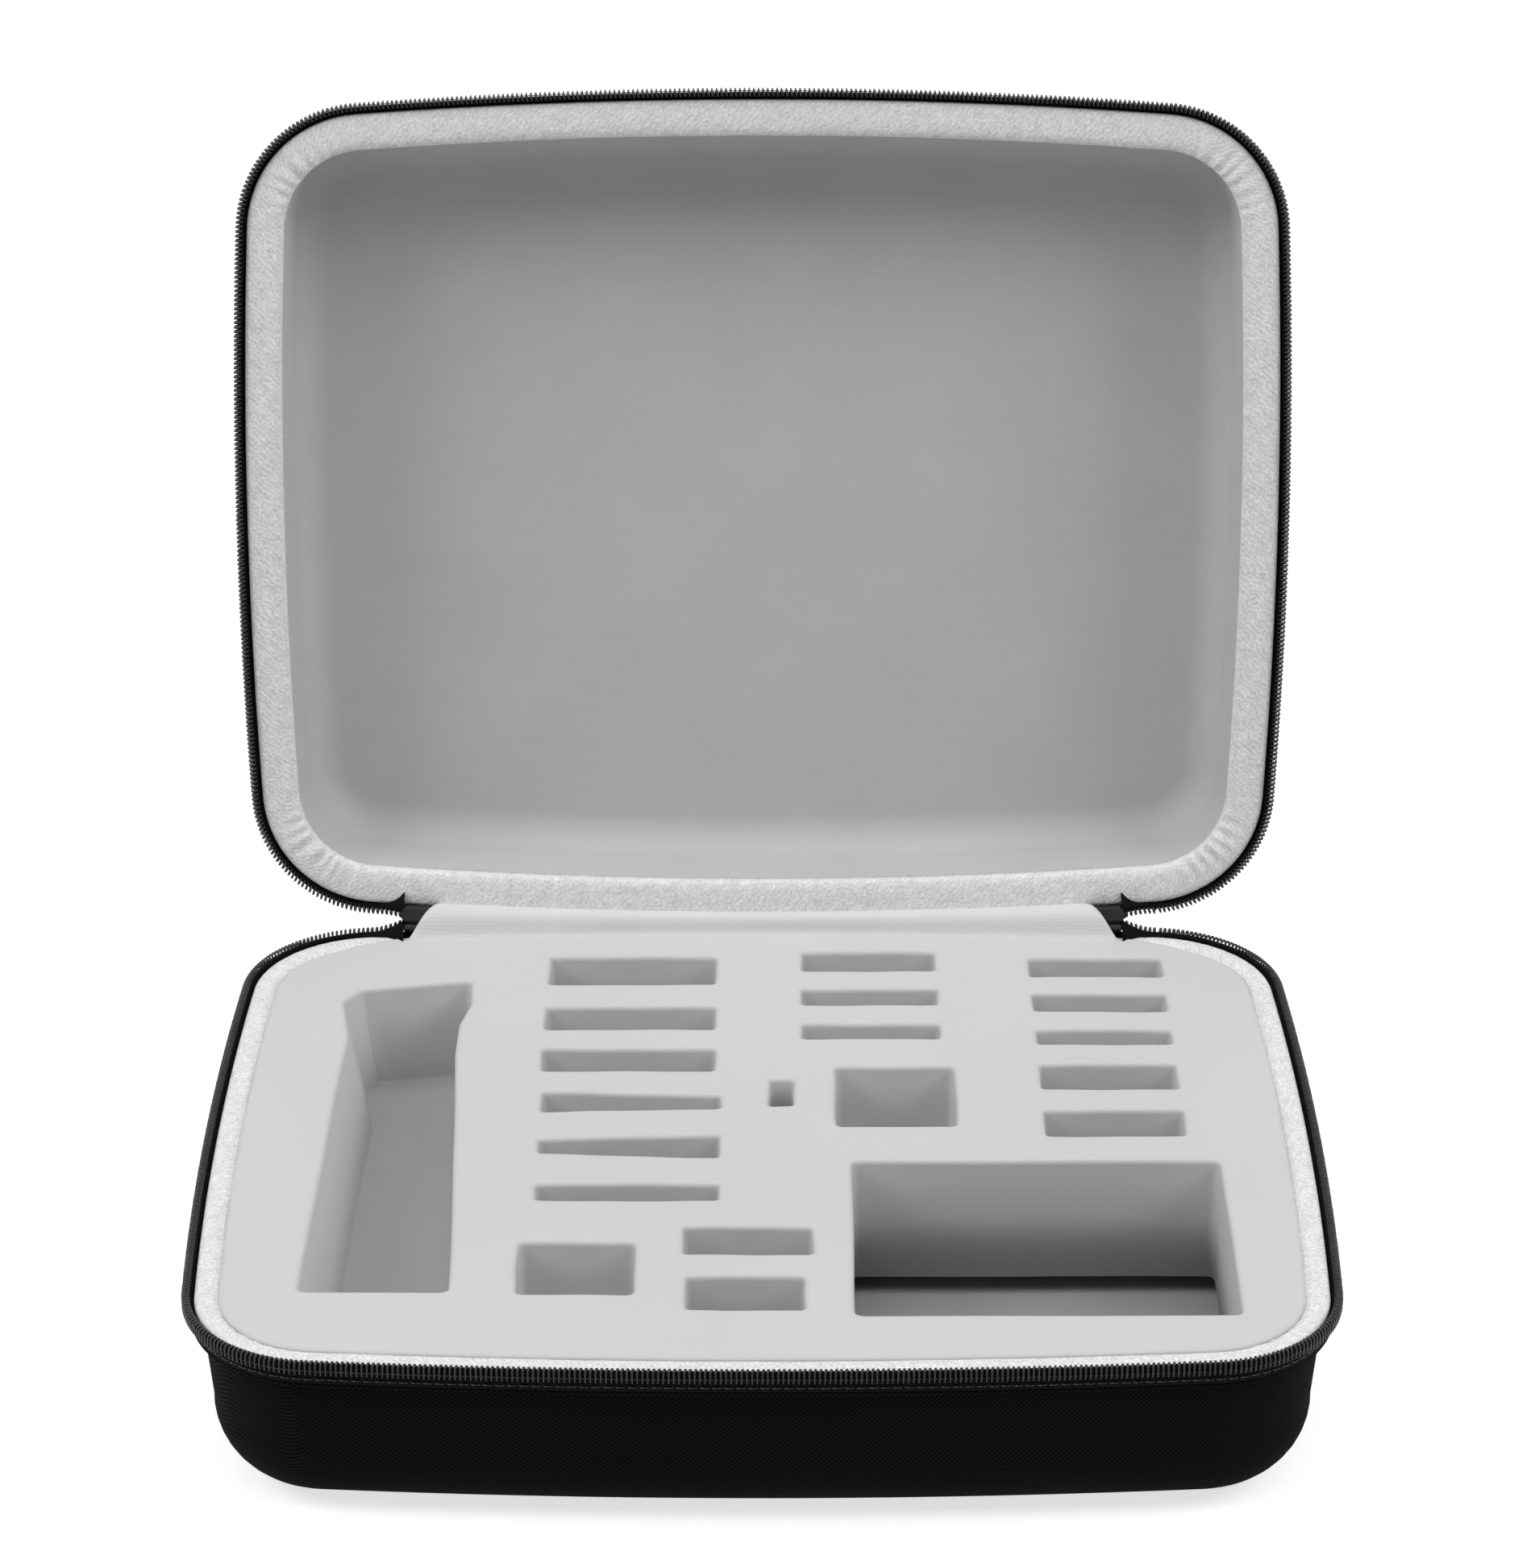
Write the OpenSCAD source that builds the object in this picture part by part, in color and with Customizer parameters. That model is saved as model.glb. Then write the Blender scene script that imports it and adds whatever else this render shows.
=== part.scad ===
// Moulded two-shell zip case for an electric shaver and its guards.
// Millimetres, +Z up, X across, +Y to the hinge side at the back.
// The origin is the middle of the flat rest face. The lid is drawn open.

/* [Outline] */
// Width over the zip
case_w = 290; // [260:1:320]
// Depth over the zip
case_d = 236; // [215:1:260]
// Radius of the four corners, seen from above
corner_r = 35.5; // [30:0.5:45]
// Radius of the slightly bowed front and back
long_bow_r = 1500; // [1100:10:2500]
// Radius of the slightly bowed sides
side_bow_r = 1540; // [1100:10:2500]

/* [Shells] */
// Height of the base from its rest face to the zip line
base_h = 50; // [45:0.5:60]
// Depth of the lid from the zip line to its outer face
lid_h = 40; // [32:0.5:50]
// How far the base wall leans in over its height
base_draft = 4; // [1:0.5:6]
// How far the lid wall leans in over its height
lid_draft = 4; // [1:0.5:6]
// Outer radius where the base wall turns into its bottom
base_fillet = 20; // [14:0.5:22]
// Outer radius where the lid wall turns into its top
lid_fillet = 17; // [14:0.5:20]
// How far the outer wall stands inside the zip
wall_in = 4; // [3.5:0.1:5]
// Thickness of the twill skin
cover_t = 0.8; // [0.5:0.1:1.2]
// Thickness of the moulded foam wall
eva_t = 6; // [4:0.1:7]
// Thickness of the lining
lining_t = 0.8; // [0.5:0.1:1.2]
// How far the lid stands open
lid_open = 100; // [0:1:180]

/* [Rim] */
// How far the rim binding lies under the zip line
rim_drop = 2.2; // [2.1:0.1:3]
// Thickness of the rim binding
binding_t = 0.9; // [0.5:0.1:1.2]
// How far the rim flange stands inside the outline
flange_in = 2.6; // [2.5:0.1:3]
// Height of the rim flange
flange_h = 4.2; // [3:0.1:6]
// Diameter of one zip coil
coil_d = 2.4; // [1.8:0.1:2.6]
// How far the coil stands inside the outline
coil_in = 0.1; // [0:0.1:0.2]
// Thickness of the zip tape
tape_t = 0.7; // [0.4:0.1:0.8]
// Height of the welt under the zip tape
welt_h = 1.6; // [1:0.1:2.5]

/* [Hinge] */
// How far the fold line stands inside the outline at the back
fold_in = 1.6; // [1.2:0.1:1.7]
// Length of the tape between the hinge fabric and a zip stop
tail_l = 12.4; // [8:0.1:30]
// Height of the hinge fabric on each shell
hinge_fabric_h = 9.4; // [8:0.1:12]
// Thickness of the hinge fabric
hinge_fabric_t = 0.75; // [0.4:0.05:0.8]

/* [Zip ends] */
// Distance from the corner's tangent to the mouth of a zip end
end_in = 9; // [9:0.5:12]
// Length of the slider body
slider_l = 9; // [8:0.5:10]
// Width of the slider body
slider_w = 6.8; // [6.6:0.1:7]
// Thickness of the slider plates
plate_t = 0.95; // [0.7:0.05:1]
// Length of the pull from its pin to its tip
pull_l = 18; // [14:0.5:18]
// Width of the pull
pull_w = 4.4; // [4:0.1:4.6]
// Thickness of the pull
pull_t = 1.4; // [1:0.1:1.6]
// Diameter of the pull's pin
pin_d = 0.9; // [0.7:0.05:1]

/* [Foam insert] */
// Thickness of the foam insert
foam_t = 35; // [30:0.5:35]
// How far the foam's face lies under the zip line
foam_drop = 1.8; // [1:0.1:4]
// Clear gap between the foam and the lining
foam_gap = 0.4; // [0.3:0.1:1]
// Depth of the clipper pocket
clipper_depth = 30; // [24:0.5:31]
// Width of the clipper pocket at its head
clipper_w = 36.5; // [32:0.5:37]
// How much the clipper pocket narrows at its waist
clipper_waist = 5; // [2:0.5:8]
// Depth of the guard slots
slot_depth = 27; // [20:0.5:30]
// Length of the long guard slots
long_slot_l = 46; // [42:0.5:50]
// Length of the short guard slots
short_slot_l = 36.5; // [32:0.5:38]
// Width of the adapter pocket
adapter_w = 95; // [85:1:96]
// Length of the adapter pocket, front to back
adapter_l = 75; // [65:1:76]

/* [Hidden] */

black = [0.07, 0.07, 0.08];
charcoal = [0.2, 0.2, 0.21];
pale = [0.86, 0.86, 0.86];
foam_grey = [0.8, 0.8, 0.8];
lining_grey = [0.62, 0.62, 0.63];

glue = 0.1;
seat = 0.3;
fillet_steps = 8;
half_w = case_w / 2;
half_d = case_d / 2;
fold_y = half_d - fold_in;
stop_l = 1.6;

// Centre of the corner circle that touches a long bow and a side bow
back_c = [0, half_d - long_bow_r];
side_c = [half_w - side_bow_r, 0];
back_reach = long_bow_r - corner_r;
side_reach = side_bow_r - corner_r;
between = norm(side_c - back_c);
along = (back_reach ^ 2 - side_reach ^ 2 + between ^ 2) / (2 * between);
across = sqrt(back_reach ^ 2 - along ^ 2);
unit = (side_c - back_c) / between;
corner_c = back_c + along * unit + across * [unit.y, -unit.x];
back_half = atan2(corner_c.x, corner_c.y - back_c.y);
side_half = atan2(corner_c.y, corner_c.x - side_c.x);
corner_turn = 90 - back_half - side_half;
corner_tangent_x = long_bow_r * sin(back_half);
end_x = corner_tangent_x - end_in;
hinge_half = end_x - slider_l - stop_l - tail_l;

// The outline's arcs, counter-clockwise from the right side:
// centre, radius, start angle and turn of each
ARCS = [
    [side_c, side_bow_r, -side_half, 2 * side_half],
    [corner_c, corner_r, side_half, corner_turn],
    [back_c, long_bow_r, 90 - back_half, 2 * back_half],
    [[-corner_c.x, corner_c.y], corner_r, 90 + back_half, corner_turn],
    [-side_c, side_bow_r, 180 - side_half, 2 * side_half],
    [-corner_c, corner_r, 180 + side_half, corner_turn],
    [-back_c, long_bow_r, 270 - back_half, 2 * back_half],
    [[corner_c.x, -corner_c.y], corner_r, 270 + back_half, corner_turn]];

// Arcs of the back between two distances from the middle plane
function back_arc(x1, x2) =
    [back_c, long_bow_r, 90 - asin(x2 / long_bow_r), asin(x2 / long_bow_r) - asin(x1 / long_bow_r)];

// A section, drawn as inset from the outline against height, goes round arcs
module sweep(arcs) {
    for (arc = arcs)
        translate(arc[0])
            rotate_extrude(angle = arc[3], start = arc[2], $fn = arc[1] > 100 ? 720 : 96)
                translate([arc[1], 0]) mirror([1, 0]) children();
}

// A shell is described by its height, draft and fillet
function base_form() = [base_h, base_draft, base_fillet];
function lid_form() = [lid_h, lid_draft, lid_fillet];
function lean(f) = atan(f[1] / f[0]);
function wall_at(f, z, d) = wall_in + (f[0] - z) * tan(lean(f)) + d / cos(lean(f));
function fillet_u(f) = wall_at(f, f[2], f[2]);

// Points of the shell's outer surface moved inward by d, from top to floor
function shell_line(f, d, top) = concat(
    [[wall_at(f, top, d), top]],
    [for (k = [0:fillet_steps])
        let (a = 180 - lean(f) + k * (90 + lean(f)) / fillet_steps)
        [fillet_u(f) + (f[2] - d) * cos(a), f[2] + (f[2] - d) * sin(a)]]);
function backwards(v) = [for (i = [len(v) - 1:-1:0]) v[i]];

// The floor is a plate that laps the swept edge
edge_lap = 3;
lap_u = corner_r - edge_lap / 2;
plate_u = lap_u - edge_lap;
function on_arc(arc, share, u) =
    arc[0] + (arc[1] - u) * [cos(arc[2] + arc[3] * share), sin(arc[2] + arc[3] * share)];
module plate(z1, z2) {
    translate([0, 0, z1]) linear_extrude(z2 - z1)
        polygon([for (arc = ARCS) each [for (k = [0:2]) on_arc(arc, (k + 0.5) / 3, plate_u)]]);
}

// One layer of a shell between the depths d1 and d2 of its wall
module layer_section(f, d1, d2, top) {
    polygon(concat(shell_line(f, d1, top), [[lap_u, d1], [lap_u, d2]],
        backwards(shell_line(f, d2, top))));
}
module layer(f, d1, d2, top) {
    sweep(ARCS) layer_section(f, d1, d2, top);
    plate(d1, d2);
}

// Depths of the layers, from the outside in
cover_d = cover_t;
eva_d1 = cover_d + glue;
eva_d2 = eva_d1 + eva_t;
lining_d1 = eva_d2 + glue;
lining_d2 = lining_d1 + lining_t;

// Heights at the rim, counted down from the zip line
binding_low = rim_drop + binding_t;
wall_low = binding_low + glue;
flange_low = wall_low + flange_h;
cover_low = flange_low + glue;
coil_clear = 0.15;
coil_mid = coil_d / 2 + coil_clear;
coil_u = coil_in + coil_d / 2;
tape_u1 = coil_u + seat;
tape_u2 = tape_u1 + tape_t;
tape_top = coil_mid + coil_d / 2;
sewn_edge = 2.7;
sewn_top = flange_low - sewn_edge;
welt_u1 = tape_u1 - seat;
hem_r = 0.3;
welt_r = 0.5;
welt_foot = 1.1;

function binding_in(f) = wall_at(f, f[0] - rim_drop, lining_d2) + hem_r;

// A solid disc inside the outline, whose edge is the profile from top to bottom
module disc(profile) {
    high = profile[0].y;
    low = profile[len(profile) - 1].y;
    sweep(ARCS) polygon(concat(profile, [[lap_u, low], [lap_u, high]]));
    plate(low, high);
}
// A closed band round the rim between an outer and an inner profile
module band(outer, inner) {
    high = inner[0] + [0, 1];
    low = inner[len(inner) - 1] - [0, 1];
    difference() {
        disc(outer);
        disc(concat([high], inner, [low]));
    }
}
// Takes the zip's upper part out along the back, and all of it at the hinge
module open_back(f, low, x) {
    translate([-x, 0, low]) cube([2 * x, case_d, f[0]]);
}

module shell_cover(f) {
    layer(f, 0, cover_d, f[0] - cover_low);
}
// The foam wall carries the rim flange, which stands out under the zip
module shell_wall(f) {
    top = f[0] - wall_low;
    low = f[0] - flange_low;
    sweep(ARCS) polygon(concat([[flange_in, top], [flange_in, low]], shell_line(f, eva_d1, low),
        [[lap_u, eva_d1], [lap_u, eva_d2]], backwards(shell_line(f, eva_d2, top))));
    plate(eva_d1, eva_d2);
}
module shell_lining(f) {
    layer(f, lining_d1, lining_d2, f[0] - wall_low);
}
module rim_binding(f) {
    top = f[0] - rim_drop;
    low = f[0] - binding_low;
    band([[flange_in + hem_r, top], [flange_in, top - hem_r], [flange_in, low]],
        [[binding_in(f), top], [binding_in(f), low]]);
}
module zip_tape(f) {
    top = f[0] - tape_top;
    low = f[0] - cover_low;
    difference() {
        band([[tape_u1, top], [tape_u1, low]], [[tape_u2, top], [tape_u2, low]]);
        open_back(f, f[0] - sewn_top, corner_tangent_x);
        open_back(f, 0, end_x - slider_l);
    }
}
// Half of an eight-sided coil section, on its outer or its inner side
function coil_side(f, s) = [for (a = [67.5:-45:-67.5])
    [coil_u - s * coil_d / 2 * cos(a), f[0] - coil_mid + coil_d / 2 * sin(a)]];
module zip_coil(f) {
    difference() {
        band(coil_side(f, 1), coil_side(f, -1));
        open_back(f, 0, corner_tangent_x);
    }
}
// The welt carries the tape's lower edge and meets the skin under the flange
module welt(f) {
    top = f[0] - cover_low - glue;
    low = top - welt_h;
    difference() {
        band([[welt_u1 + welt_r, top], [welt_u1, top - welt_r], [welt_u1, (top + low) / 2],
            [welt_u1 + welt_foot, low]],
            [[wall_at(f, top, 0) - glue, top], [wall_at(f, low, 0) - glue, low]]);
        open_back(f, 0, end_x - slider_l);
    }
}
// Fabric strip that is sewn under the flange and runs up to the fold line
module hinge_fabric(f) {
    u = flange_in - glue / 2 - hinge_fabric_t;
    low = f[0] - hinge_fabric_h;
    sweep([back_arc(-hinge_half, hinge_half)]) polygon([
        [u, f[0] - coil_clear], [u + hinge_fabric_t, f[0] - coil_clear],
        [u + hinge_fabric_t, f[0] - cover_low - glue],
        [wall_at(f, f[0] - cover_low - glue, 0) - glue, f[0] - cover_low - glue],
        [wall_at(f, low, 0) - glue, low], [wall_at(f, low, 0) - hinge_fabric_t, low],
        [u, f[0] - cover_low]]);
}

// Turns what is drawn about the fold line, as the lid or half as far
module turned(angle) {
    translate([0, fold_y, base_h]) rotate([-angle, 0, 0]) translate([0, -fold_y, -base_h]) children();
}
module on_lid() {
    turned(lid_open) translate([0, 0, base_h + lid_h]) mirror([0, 0, 1]) children();
}

module base_outer_cover() { color(black) shell_cover(base_form()); }
module base_eva_shell() { color(charcoal) shell_wall(base_form()); }
module base_lining() { color(lining_grey) shell_lining(base_form()); }
module base_rim_binding() { color(pale) rim_binding(base_form()); }
module base_zip_tape() { color(black) zip_tape(base_form()); }
module base_zip_coil() { color(charcoal) zip_coil(base_form()); }
module base_welt() { color(black) welt(base_form()); }
module hinge_fabric_base() { color(black) hinge_fabric(base_form()); }
module lid_outer_cover() { color(black) on_lid() shell_cover(lid_form()); }
module lid_eva_shell() { color(charcoal) on_lid() shell_wall(lid_form()); }
module lid_lining() { color(lining_grey) on_lid() shell_lining(lid_form()); }
module lid_rim_binding() { color(pale) on_lid() rim_binding(lid_form()); }
module lid_zip_tape() { color(black) on_lid() zip_tape(lid_form()); }
module lid_zip_coil() { color(charcoal) on_lid() zip_coil(lid_form()); }
module lid_welt() { color(black) on_lid() welt(lid_form()); }
module hinge_fabric_lid() { color(black) on_lid() hinge_fabric(lid_form()); }

// The foam block stands on the bottom fillet of the lining
foam_top = base_h - foam_drop;
foam_low = foam_top - foam_t;
foam_u = wall_at(base_form(), foam_top, lining_d2) + foam_gap;
knee_z = base_fillet;
knee_u = wall_at(base_form(), knee_z, lining_d2) + foam_gap;
// The foam's lower edge just clears the fillet that carries it
bowl_r = base_fillet - lining_d2 - seat;
foam_low_u = fillet_u(base_form()) - sqrt(bowl_r ^ 2 - (base_fillet - foam_low) ^ 2);

// The swept edge is drawn to just inside the fillet and knees at its top
foam_clear = 0.2;
knee_in = 0.6;
module foam_block() {
    sweep(ARCS) polygon([
        [foam_low_u + foam_clear, foam_low], [lap_u, foam_low], [lap_u, foam_top],
        [foam_u, foam_top], [max(knee_u, foam_low_u - knee_in), knee_z]]);
    plate(foam_low, foam_top);
}

// The cut-outs keep their share of the insert's half width and half depth
foam_x = half_w - foam_u;
foam_y = half_d - foam_u;
left_x = -0.2715 * foam_x;
middle_x = 0.221 * foam_x;
right_x = 0.696 * foam_x;
short_slot_rise = 0.5;

// Rows of guard slots from the back to the front: share and opening
left_rows = [[0.862, 16], [0.600, 12.6], [0.378, 12]];
middle_rows = [[0.914, 11], [0.716, 9], [0.529, 8]];
right_rows = [[0.880, 10.5], [0.685, 9.7], [0.499, 7.8], [0.291, 13.2], [0.054, 13.4]];
// Slots for the bent guards: share, opening at the left and at the right
bent_rows = [[0.161, 10.4, 6.6], [-0.0616, 7, 11.5], [-0.284, 8, 8]];
bent_shift = 1.3;
bent_extra = 1;

// Small cut-outs: share across, share front to back, width, length
small_cut = [0.0377, 0.208, 6.4, 14];
small_depth = 20;
square_cut = [0.2655, 0.189, 31.5, 32];
square_depth = 25;
front_cut = [-0.351, -0.636, 29, 24.6];
front_slots = [[-0.0272, -0.5105, 32.5, 13], [-0.0317, -0.748, 29.5, 15.3]];
front_depth = 22;
adapter_x = 0.5317 * foam_x;
adapter_y = -0.4896 * foam_y;

// Clipper pocket: square foot at the front, bowed waist, slanted head at the back
clipper_x = -0.733 * foam_x;
clipper_y = 0.031 * foam_y;
clipper_l = 163.5;
clipper_front = clipper_y - clipper_l / 2;
clipper_back = clipper_y + clipper_l / 2;
head_l = 34;
foot_l = 8;
head_bevel = 8;
head_side = 5;
head_lip = 1;
waist_steps = 10;
waist_front = clipper_front + foot_l;
waist_back = clipper_back - head_l;

// Joints between the bays of the insert lie midway between the cut-outs
clipper_joint_x = (clipper_x + clipper_w / 2 + left_x - long_slot_l / 2) / 2;
left_joint_x = (left_x + bent_shift + long_slot_l / 2 + small_cut[0] * foam_x - small_cut[2] / 2) / 2;
middle_joint_x = (middle_x + short_slot_l / 2 + right_x - short_slot_l / 2) / 2;
front_joint_y = (bent_rows[2][0] * foam_y - bent_rows[2][1] / 2
    + front_slots[0][1] * foam_y + front_slots[0][3] / 2) / 2;
adapter_joint_y = (right_rows[4][0] * foam_y - right_rows[4][1] / 2 + adapter_y + adapter_l / 2) / 2;
accessory_joint_x = (front_slots[0][0] * foam_x + front_slots[0][2] / 2 + adapter_x - adapter_w / 2) / 2;

// A rectangular cut-out from its middle, its size and its depth
module cut(x, y, w, l, depth) {
    translate([x - w / 2, y - l / 2, foam_top - depth]) cube([w, l, depth + 1]);
}
module shared_cut(c, depth) {
    cut(c[0] * foam_x, c[1] * foam_y, c[2], c[3], depth);
}
module column(x, w, rows) {
    for (row = rows) cut(x, row[0] * foam_y, w, row[1], slot_depth);
}
// A slot that is wider at one end, as the bent guards need
module bent_cut(x, w, row) {
    translate([x, row[0] * foam_y, foam_top - slot_depth]) linear_extrude(slot_depth + 1) polygon([
        [-w / 2, -row[1] / 2], [w / 2, -row[2] / 2], [w / 2, row[2] / 2], [-w / 2, row[1] / 2]]);
}
module bay(x1, x2, y1, y2) {
    intersection() {
        foam_block();
        translate([x1, y1, 0]) cube([x2 - x1, y2 - y1, base_h]);
    }
}
function waist(s) = [for (k = [0:waist_steps])
    [clipper_x + s * (clipper_w / 2 - clipper_waist / 4 * (1 - cos(360 * k / waist_steps))),
     waist_front + (waist_back - waist_front) * k / waist_steps]];
module clipper_outline() {
    left = clipper_x - clipper_w / 2;
    right = clipper_x + clipper_w / 2;
    polygon(concat(
        [[left, clipper_front], [right, clipper_front]],
        waist(1),
        [[right - head_lip, waist_back + head_l / 3], [right, clipper_back - head_bevel],
         [right - head_lip, clipper_back], [left + head_side, clipper_back - head_bevel],
         [left, clipper_back - 2 * head_bevel]],
        backwards(waist(-1))));
}

edge = case_w;
module foam_clipper_bay() {
    color(foam_grey) difference() {
        bay(-edge, clipper_joint_x, -edge, edge);
        translate([0, 0, foam_top - clipper_depth]) linear_extrude(clipper_depth + 1) clipper_outline();
    }
}
module foam_left_guard_bay() {
    color(foam_grey) difference() {
        bay(clipper_joint_x, left_joint_x, front_joint_y, edge);
        column(left_x, long_slot_l, left_rows);
        for (row = bent_rows) bent_cut(left_x + bent_shift, long_slot_l + bent_extra, row);
    }
}
module foam_middle_guard_bay() {
    color(foam_grey) difference() {
        bay(left_joint_x, middle_joint_x, adapter_joint_y, edge);
        column(middle_x, short_slot_l + short_slot_rise, middle_rows);
        shared_cut(small_cut, small_depth);
        shared_cut(square_cut, square_depth);
    }
}
module foam_right_guard_bay() {
    color(foam_grey) difference() {
        bay(middle_joint_x, edge, adapter_joint_y, edge);
        column(right_x, short_slot_l, right_rows);
    }
}
module foam_accessory_bay() {
    color(foam_grey) difference() {
        bay(clipper_joint_x, accessory_joint_x, -edge, front_joint_y);
        shared_cut(front_cut, front_depth);
        for (c = front_slots) shared_cut(c, front_depth);
    }
}
// The adapter pocket goes right through, so the lined bottom shows in it
module foam_adapter_bay() {
    color(foam_grey) difference() {
        bay(left_joint_x, edge, -edge, adapter_joint_y);
        translate([left_joint_x - 1, -edge, -1])
            cube([accessory_joint_x - left_joint_x + 1, edge + front_joint_y, base_h + 2]);
        cut(adapter_x, adapter_y, adapter_w, adapter_l, foam_t + 1);
    }
}

// Zip ends stand on the back of the outline and turn half as far as the lid
end_turn = asin(end_x / long_bow_r);
end_y = back_c.y + sqrt(long_bow_r ^ 2 - end_x ^ 2);
module at_end(side) {
    turned(lid_open / 2) mirror([side < 0 ? 1 : 0, 0])
        translate([end_x, end_y, base_h]) rotate([0, 0, -end_turn]) children();
}
module box(x, y, z) {
    translate([x[0], y[0], z[0]]) cube([x[1] - x[0], y[1] - y[0], z[1] - z[0]]);
}
coil_gap = coil_mid - coil_d / 2;
chain_x = -slider_l;
post_x = -0.9;
web = 0.5;
tail_t = 0.75;
tail_h = 1.6;
// Joined end of the chain, with the tape tail that is sewn to the hinge fabric
module zip_end(side) {
    at_end(side) {
        for (s = [-1, 1]) translate([chain_x, -coil_u, s * coil_mid])
            rotate([0, 90, 0]) cylinder(d = coil_d, h = post_x - chain_x, $fn = 24);
        box([chain_x, post_x], [-coil_u - web, -coil_u + web], [-coil_gap * 2, coil_gap * 2]);
    }
    turned(lid_open / 2) mirror([side < 0 ? 1 : 0, 0])
        box([hinge_half + seat, end_x - slider_l - stop_l], [fold_y - seat - tail_t, fold_y - seat],
            [base_h - tail_h, base_h + tail_h]);
}
module zip_stop(side) {
    at_end(side) box([chain_x - stop_l, chain_x - 0.05], [-coil_u * 2 + 0.1, -coil_in],
        [-coil_mid * 2 + 0.2, coil_mid * 2 - 0.2]);
}
// Slider: outer plate with rails, a post at the nose and a narrow back plate
channel = 0.35;
plate_y = channel - coil_in;
rail_z = coil_mid + coil_d / 2 + channel;
back_u = coil_in + coil_d + channel;
nose = 0.45;
crown_l = 5.8;
crown_x = -4.5;
crown_w = 1.6;
crown_h = 2.5;
pin_y = plate_y + plate_t + 1.05;
module slider(side) {
    at_end(side) {
        translate([nose, plate_y + plate_t, 0]) rotate([90, 0, 0]) linear_extrude(plate_t) polygon([
            [0, -1.6], [0, 1.6], [-2, slider_w / 2], [-slider_l + 1.2, slider_w / 2],
            [-slider_l, slider_w / 2 - 1], [-slider_l, 1 - slider_w / 2],
            [1.2 - slider_l, -slider_w / 2], [-2, -slider_w / 2]]);
        for (s = [0, 1]) mirror([0, 0, s])
            box([nose - slider_l + 1.2, nose - 2.4], [-1, plate_y + 0.1], [rail_z, slider_w / 2]);
        box([nose - 1, nose], [-back_u - 0.1, plate_y + 0.1], [-1.2, 1.2]);
        box([nose - slider_l + 0.6, nose], [-back_u - plate_t + 0.2, -back_u], [-1.8, 1.8]);
        // Crown that the pin of the pull turns in
        translate([crown_x, plate_y + plate_t, 0]) rotate([90, 0, 0]) translate([0, 0, -crown_h])
            linear_extrude(crown_h + 0.1) square([crown_l, crown_w], center = true);
    }
}
module slider_body(side) {
    difference() {
        slider(side);
        at_end(side) translate([crown_x, pin_y, -crown_w]) cylinder(d = pin_d + 0.2, h = crown_w * 2, $fn = 24);
    }
}
// Pull: a pin through the crown, two arms and a rounded tab
module pull(side) {
    arm_z = crown_w / 2 + 0.3;
    at_end(side) translate([crown_x, pin_y, 0]) {
        translate([0, 0, -pull_w / 2]) cylinder(d = pin_d, h = pull_w, $fn = 24);
        for (s = [0, 1]) mirror([0, 0, s]) box([-pull_t / 2, pull_t / 2], [-pin_d / 2, 4.2], [arm_z, pull_w / 2]);
        box([-pull_t / 2, pull_t / 2], [3.7, pull_l - pull_w / 2], [-pull_w / 2, pull_w / 2]);
        translate([-pull_t / 2, pull_l - pull_w / 2, 0]) rotate([0, 90, 0])
            cylinder(d = pull_w, h = pull_t, $fn = 32);
    }
}
module zip_end_left() { color(black) zip_end(-1); }
module zip_end_right() { color(black) zip_end(1); }
module zip_stop_left() { color(charcoal) zip_stop(-1); }
module zip_stop_right() { color(charcoal) zip_stop(1); }
module slider_left() { color(charcoal) slider_body(-1); }
module slider_right() { color(charcoal) slider_body(1); }
module pull_left() { color(black) pull(-1); }
module pull_right() { color(black) pull(1); }

base_outer_cover();
base_eva_shell();
base_lining();
base_rim_binding();
base_zip_tape();
base_zip_coil();
base_welt();
hinge_fabric_base();
foam_clipper_bay();
foam_left_guard_bay();
foam_middle_guard_bay();
foam_right_guard_bay();
foam_accessory_bay();
foam_adapter_bay();
lid_outer_cover();
lid_eva_shell();
lid_lining();
lid_rim_binding();
lid_zip_tape();
lid_zip_coil();
lid_welt();
hinge_fabric_lid();
zip_end_left();
zip_end_right();
zip_stop_left();
zip_stop_right();
slider_left();
slider_right();
pull_left();
pull_right();
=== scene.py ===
import bpy, bmesh, math
import numpy as np
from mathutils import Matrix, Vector


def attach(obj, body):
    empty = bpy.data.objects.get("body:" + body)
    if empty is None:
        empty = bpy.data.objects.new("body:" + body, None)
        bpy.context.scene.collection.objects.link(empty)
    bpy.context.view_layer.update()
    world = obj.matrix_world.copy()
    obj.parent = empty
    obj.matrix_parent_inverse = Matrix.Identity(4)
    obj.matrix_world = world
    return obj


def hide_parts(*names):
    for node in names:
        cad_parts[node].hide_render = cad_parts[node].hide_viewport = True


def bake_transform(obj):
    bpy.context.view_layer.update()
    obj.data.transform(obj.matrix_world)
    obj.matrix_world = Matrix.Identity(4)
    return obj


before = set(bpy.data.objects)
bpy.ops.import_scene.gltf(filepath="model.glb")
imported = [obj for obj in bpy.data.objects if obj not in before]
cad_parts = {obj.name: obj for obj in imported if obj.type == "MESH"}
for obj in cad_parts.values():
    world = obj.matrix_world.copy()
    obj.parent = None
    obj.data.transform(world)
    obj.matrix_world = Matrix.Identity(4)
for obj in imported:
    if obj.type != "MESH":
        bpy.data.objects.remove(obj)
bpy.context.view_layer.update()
mm = 0.001
print("frame loaded:", len(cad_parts), "nodes")

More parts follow.
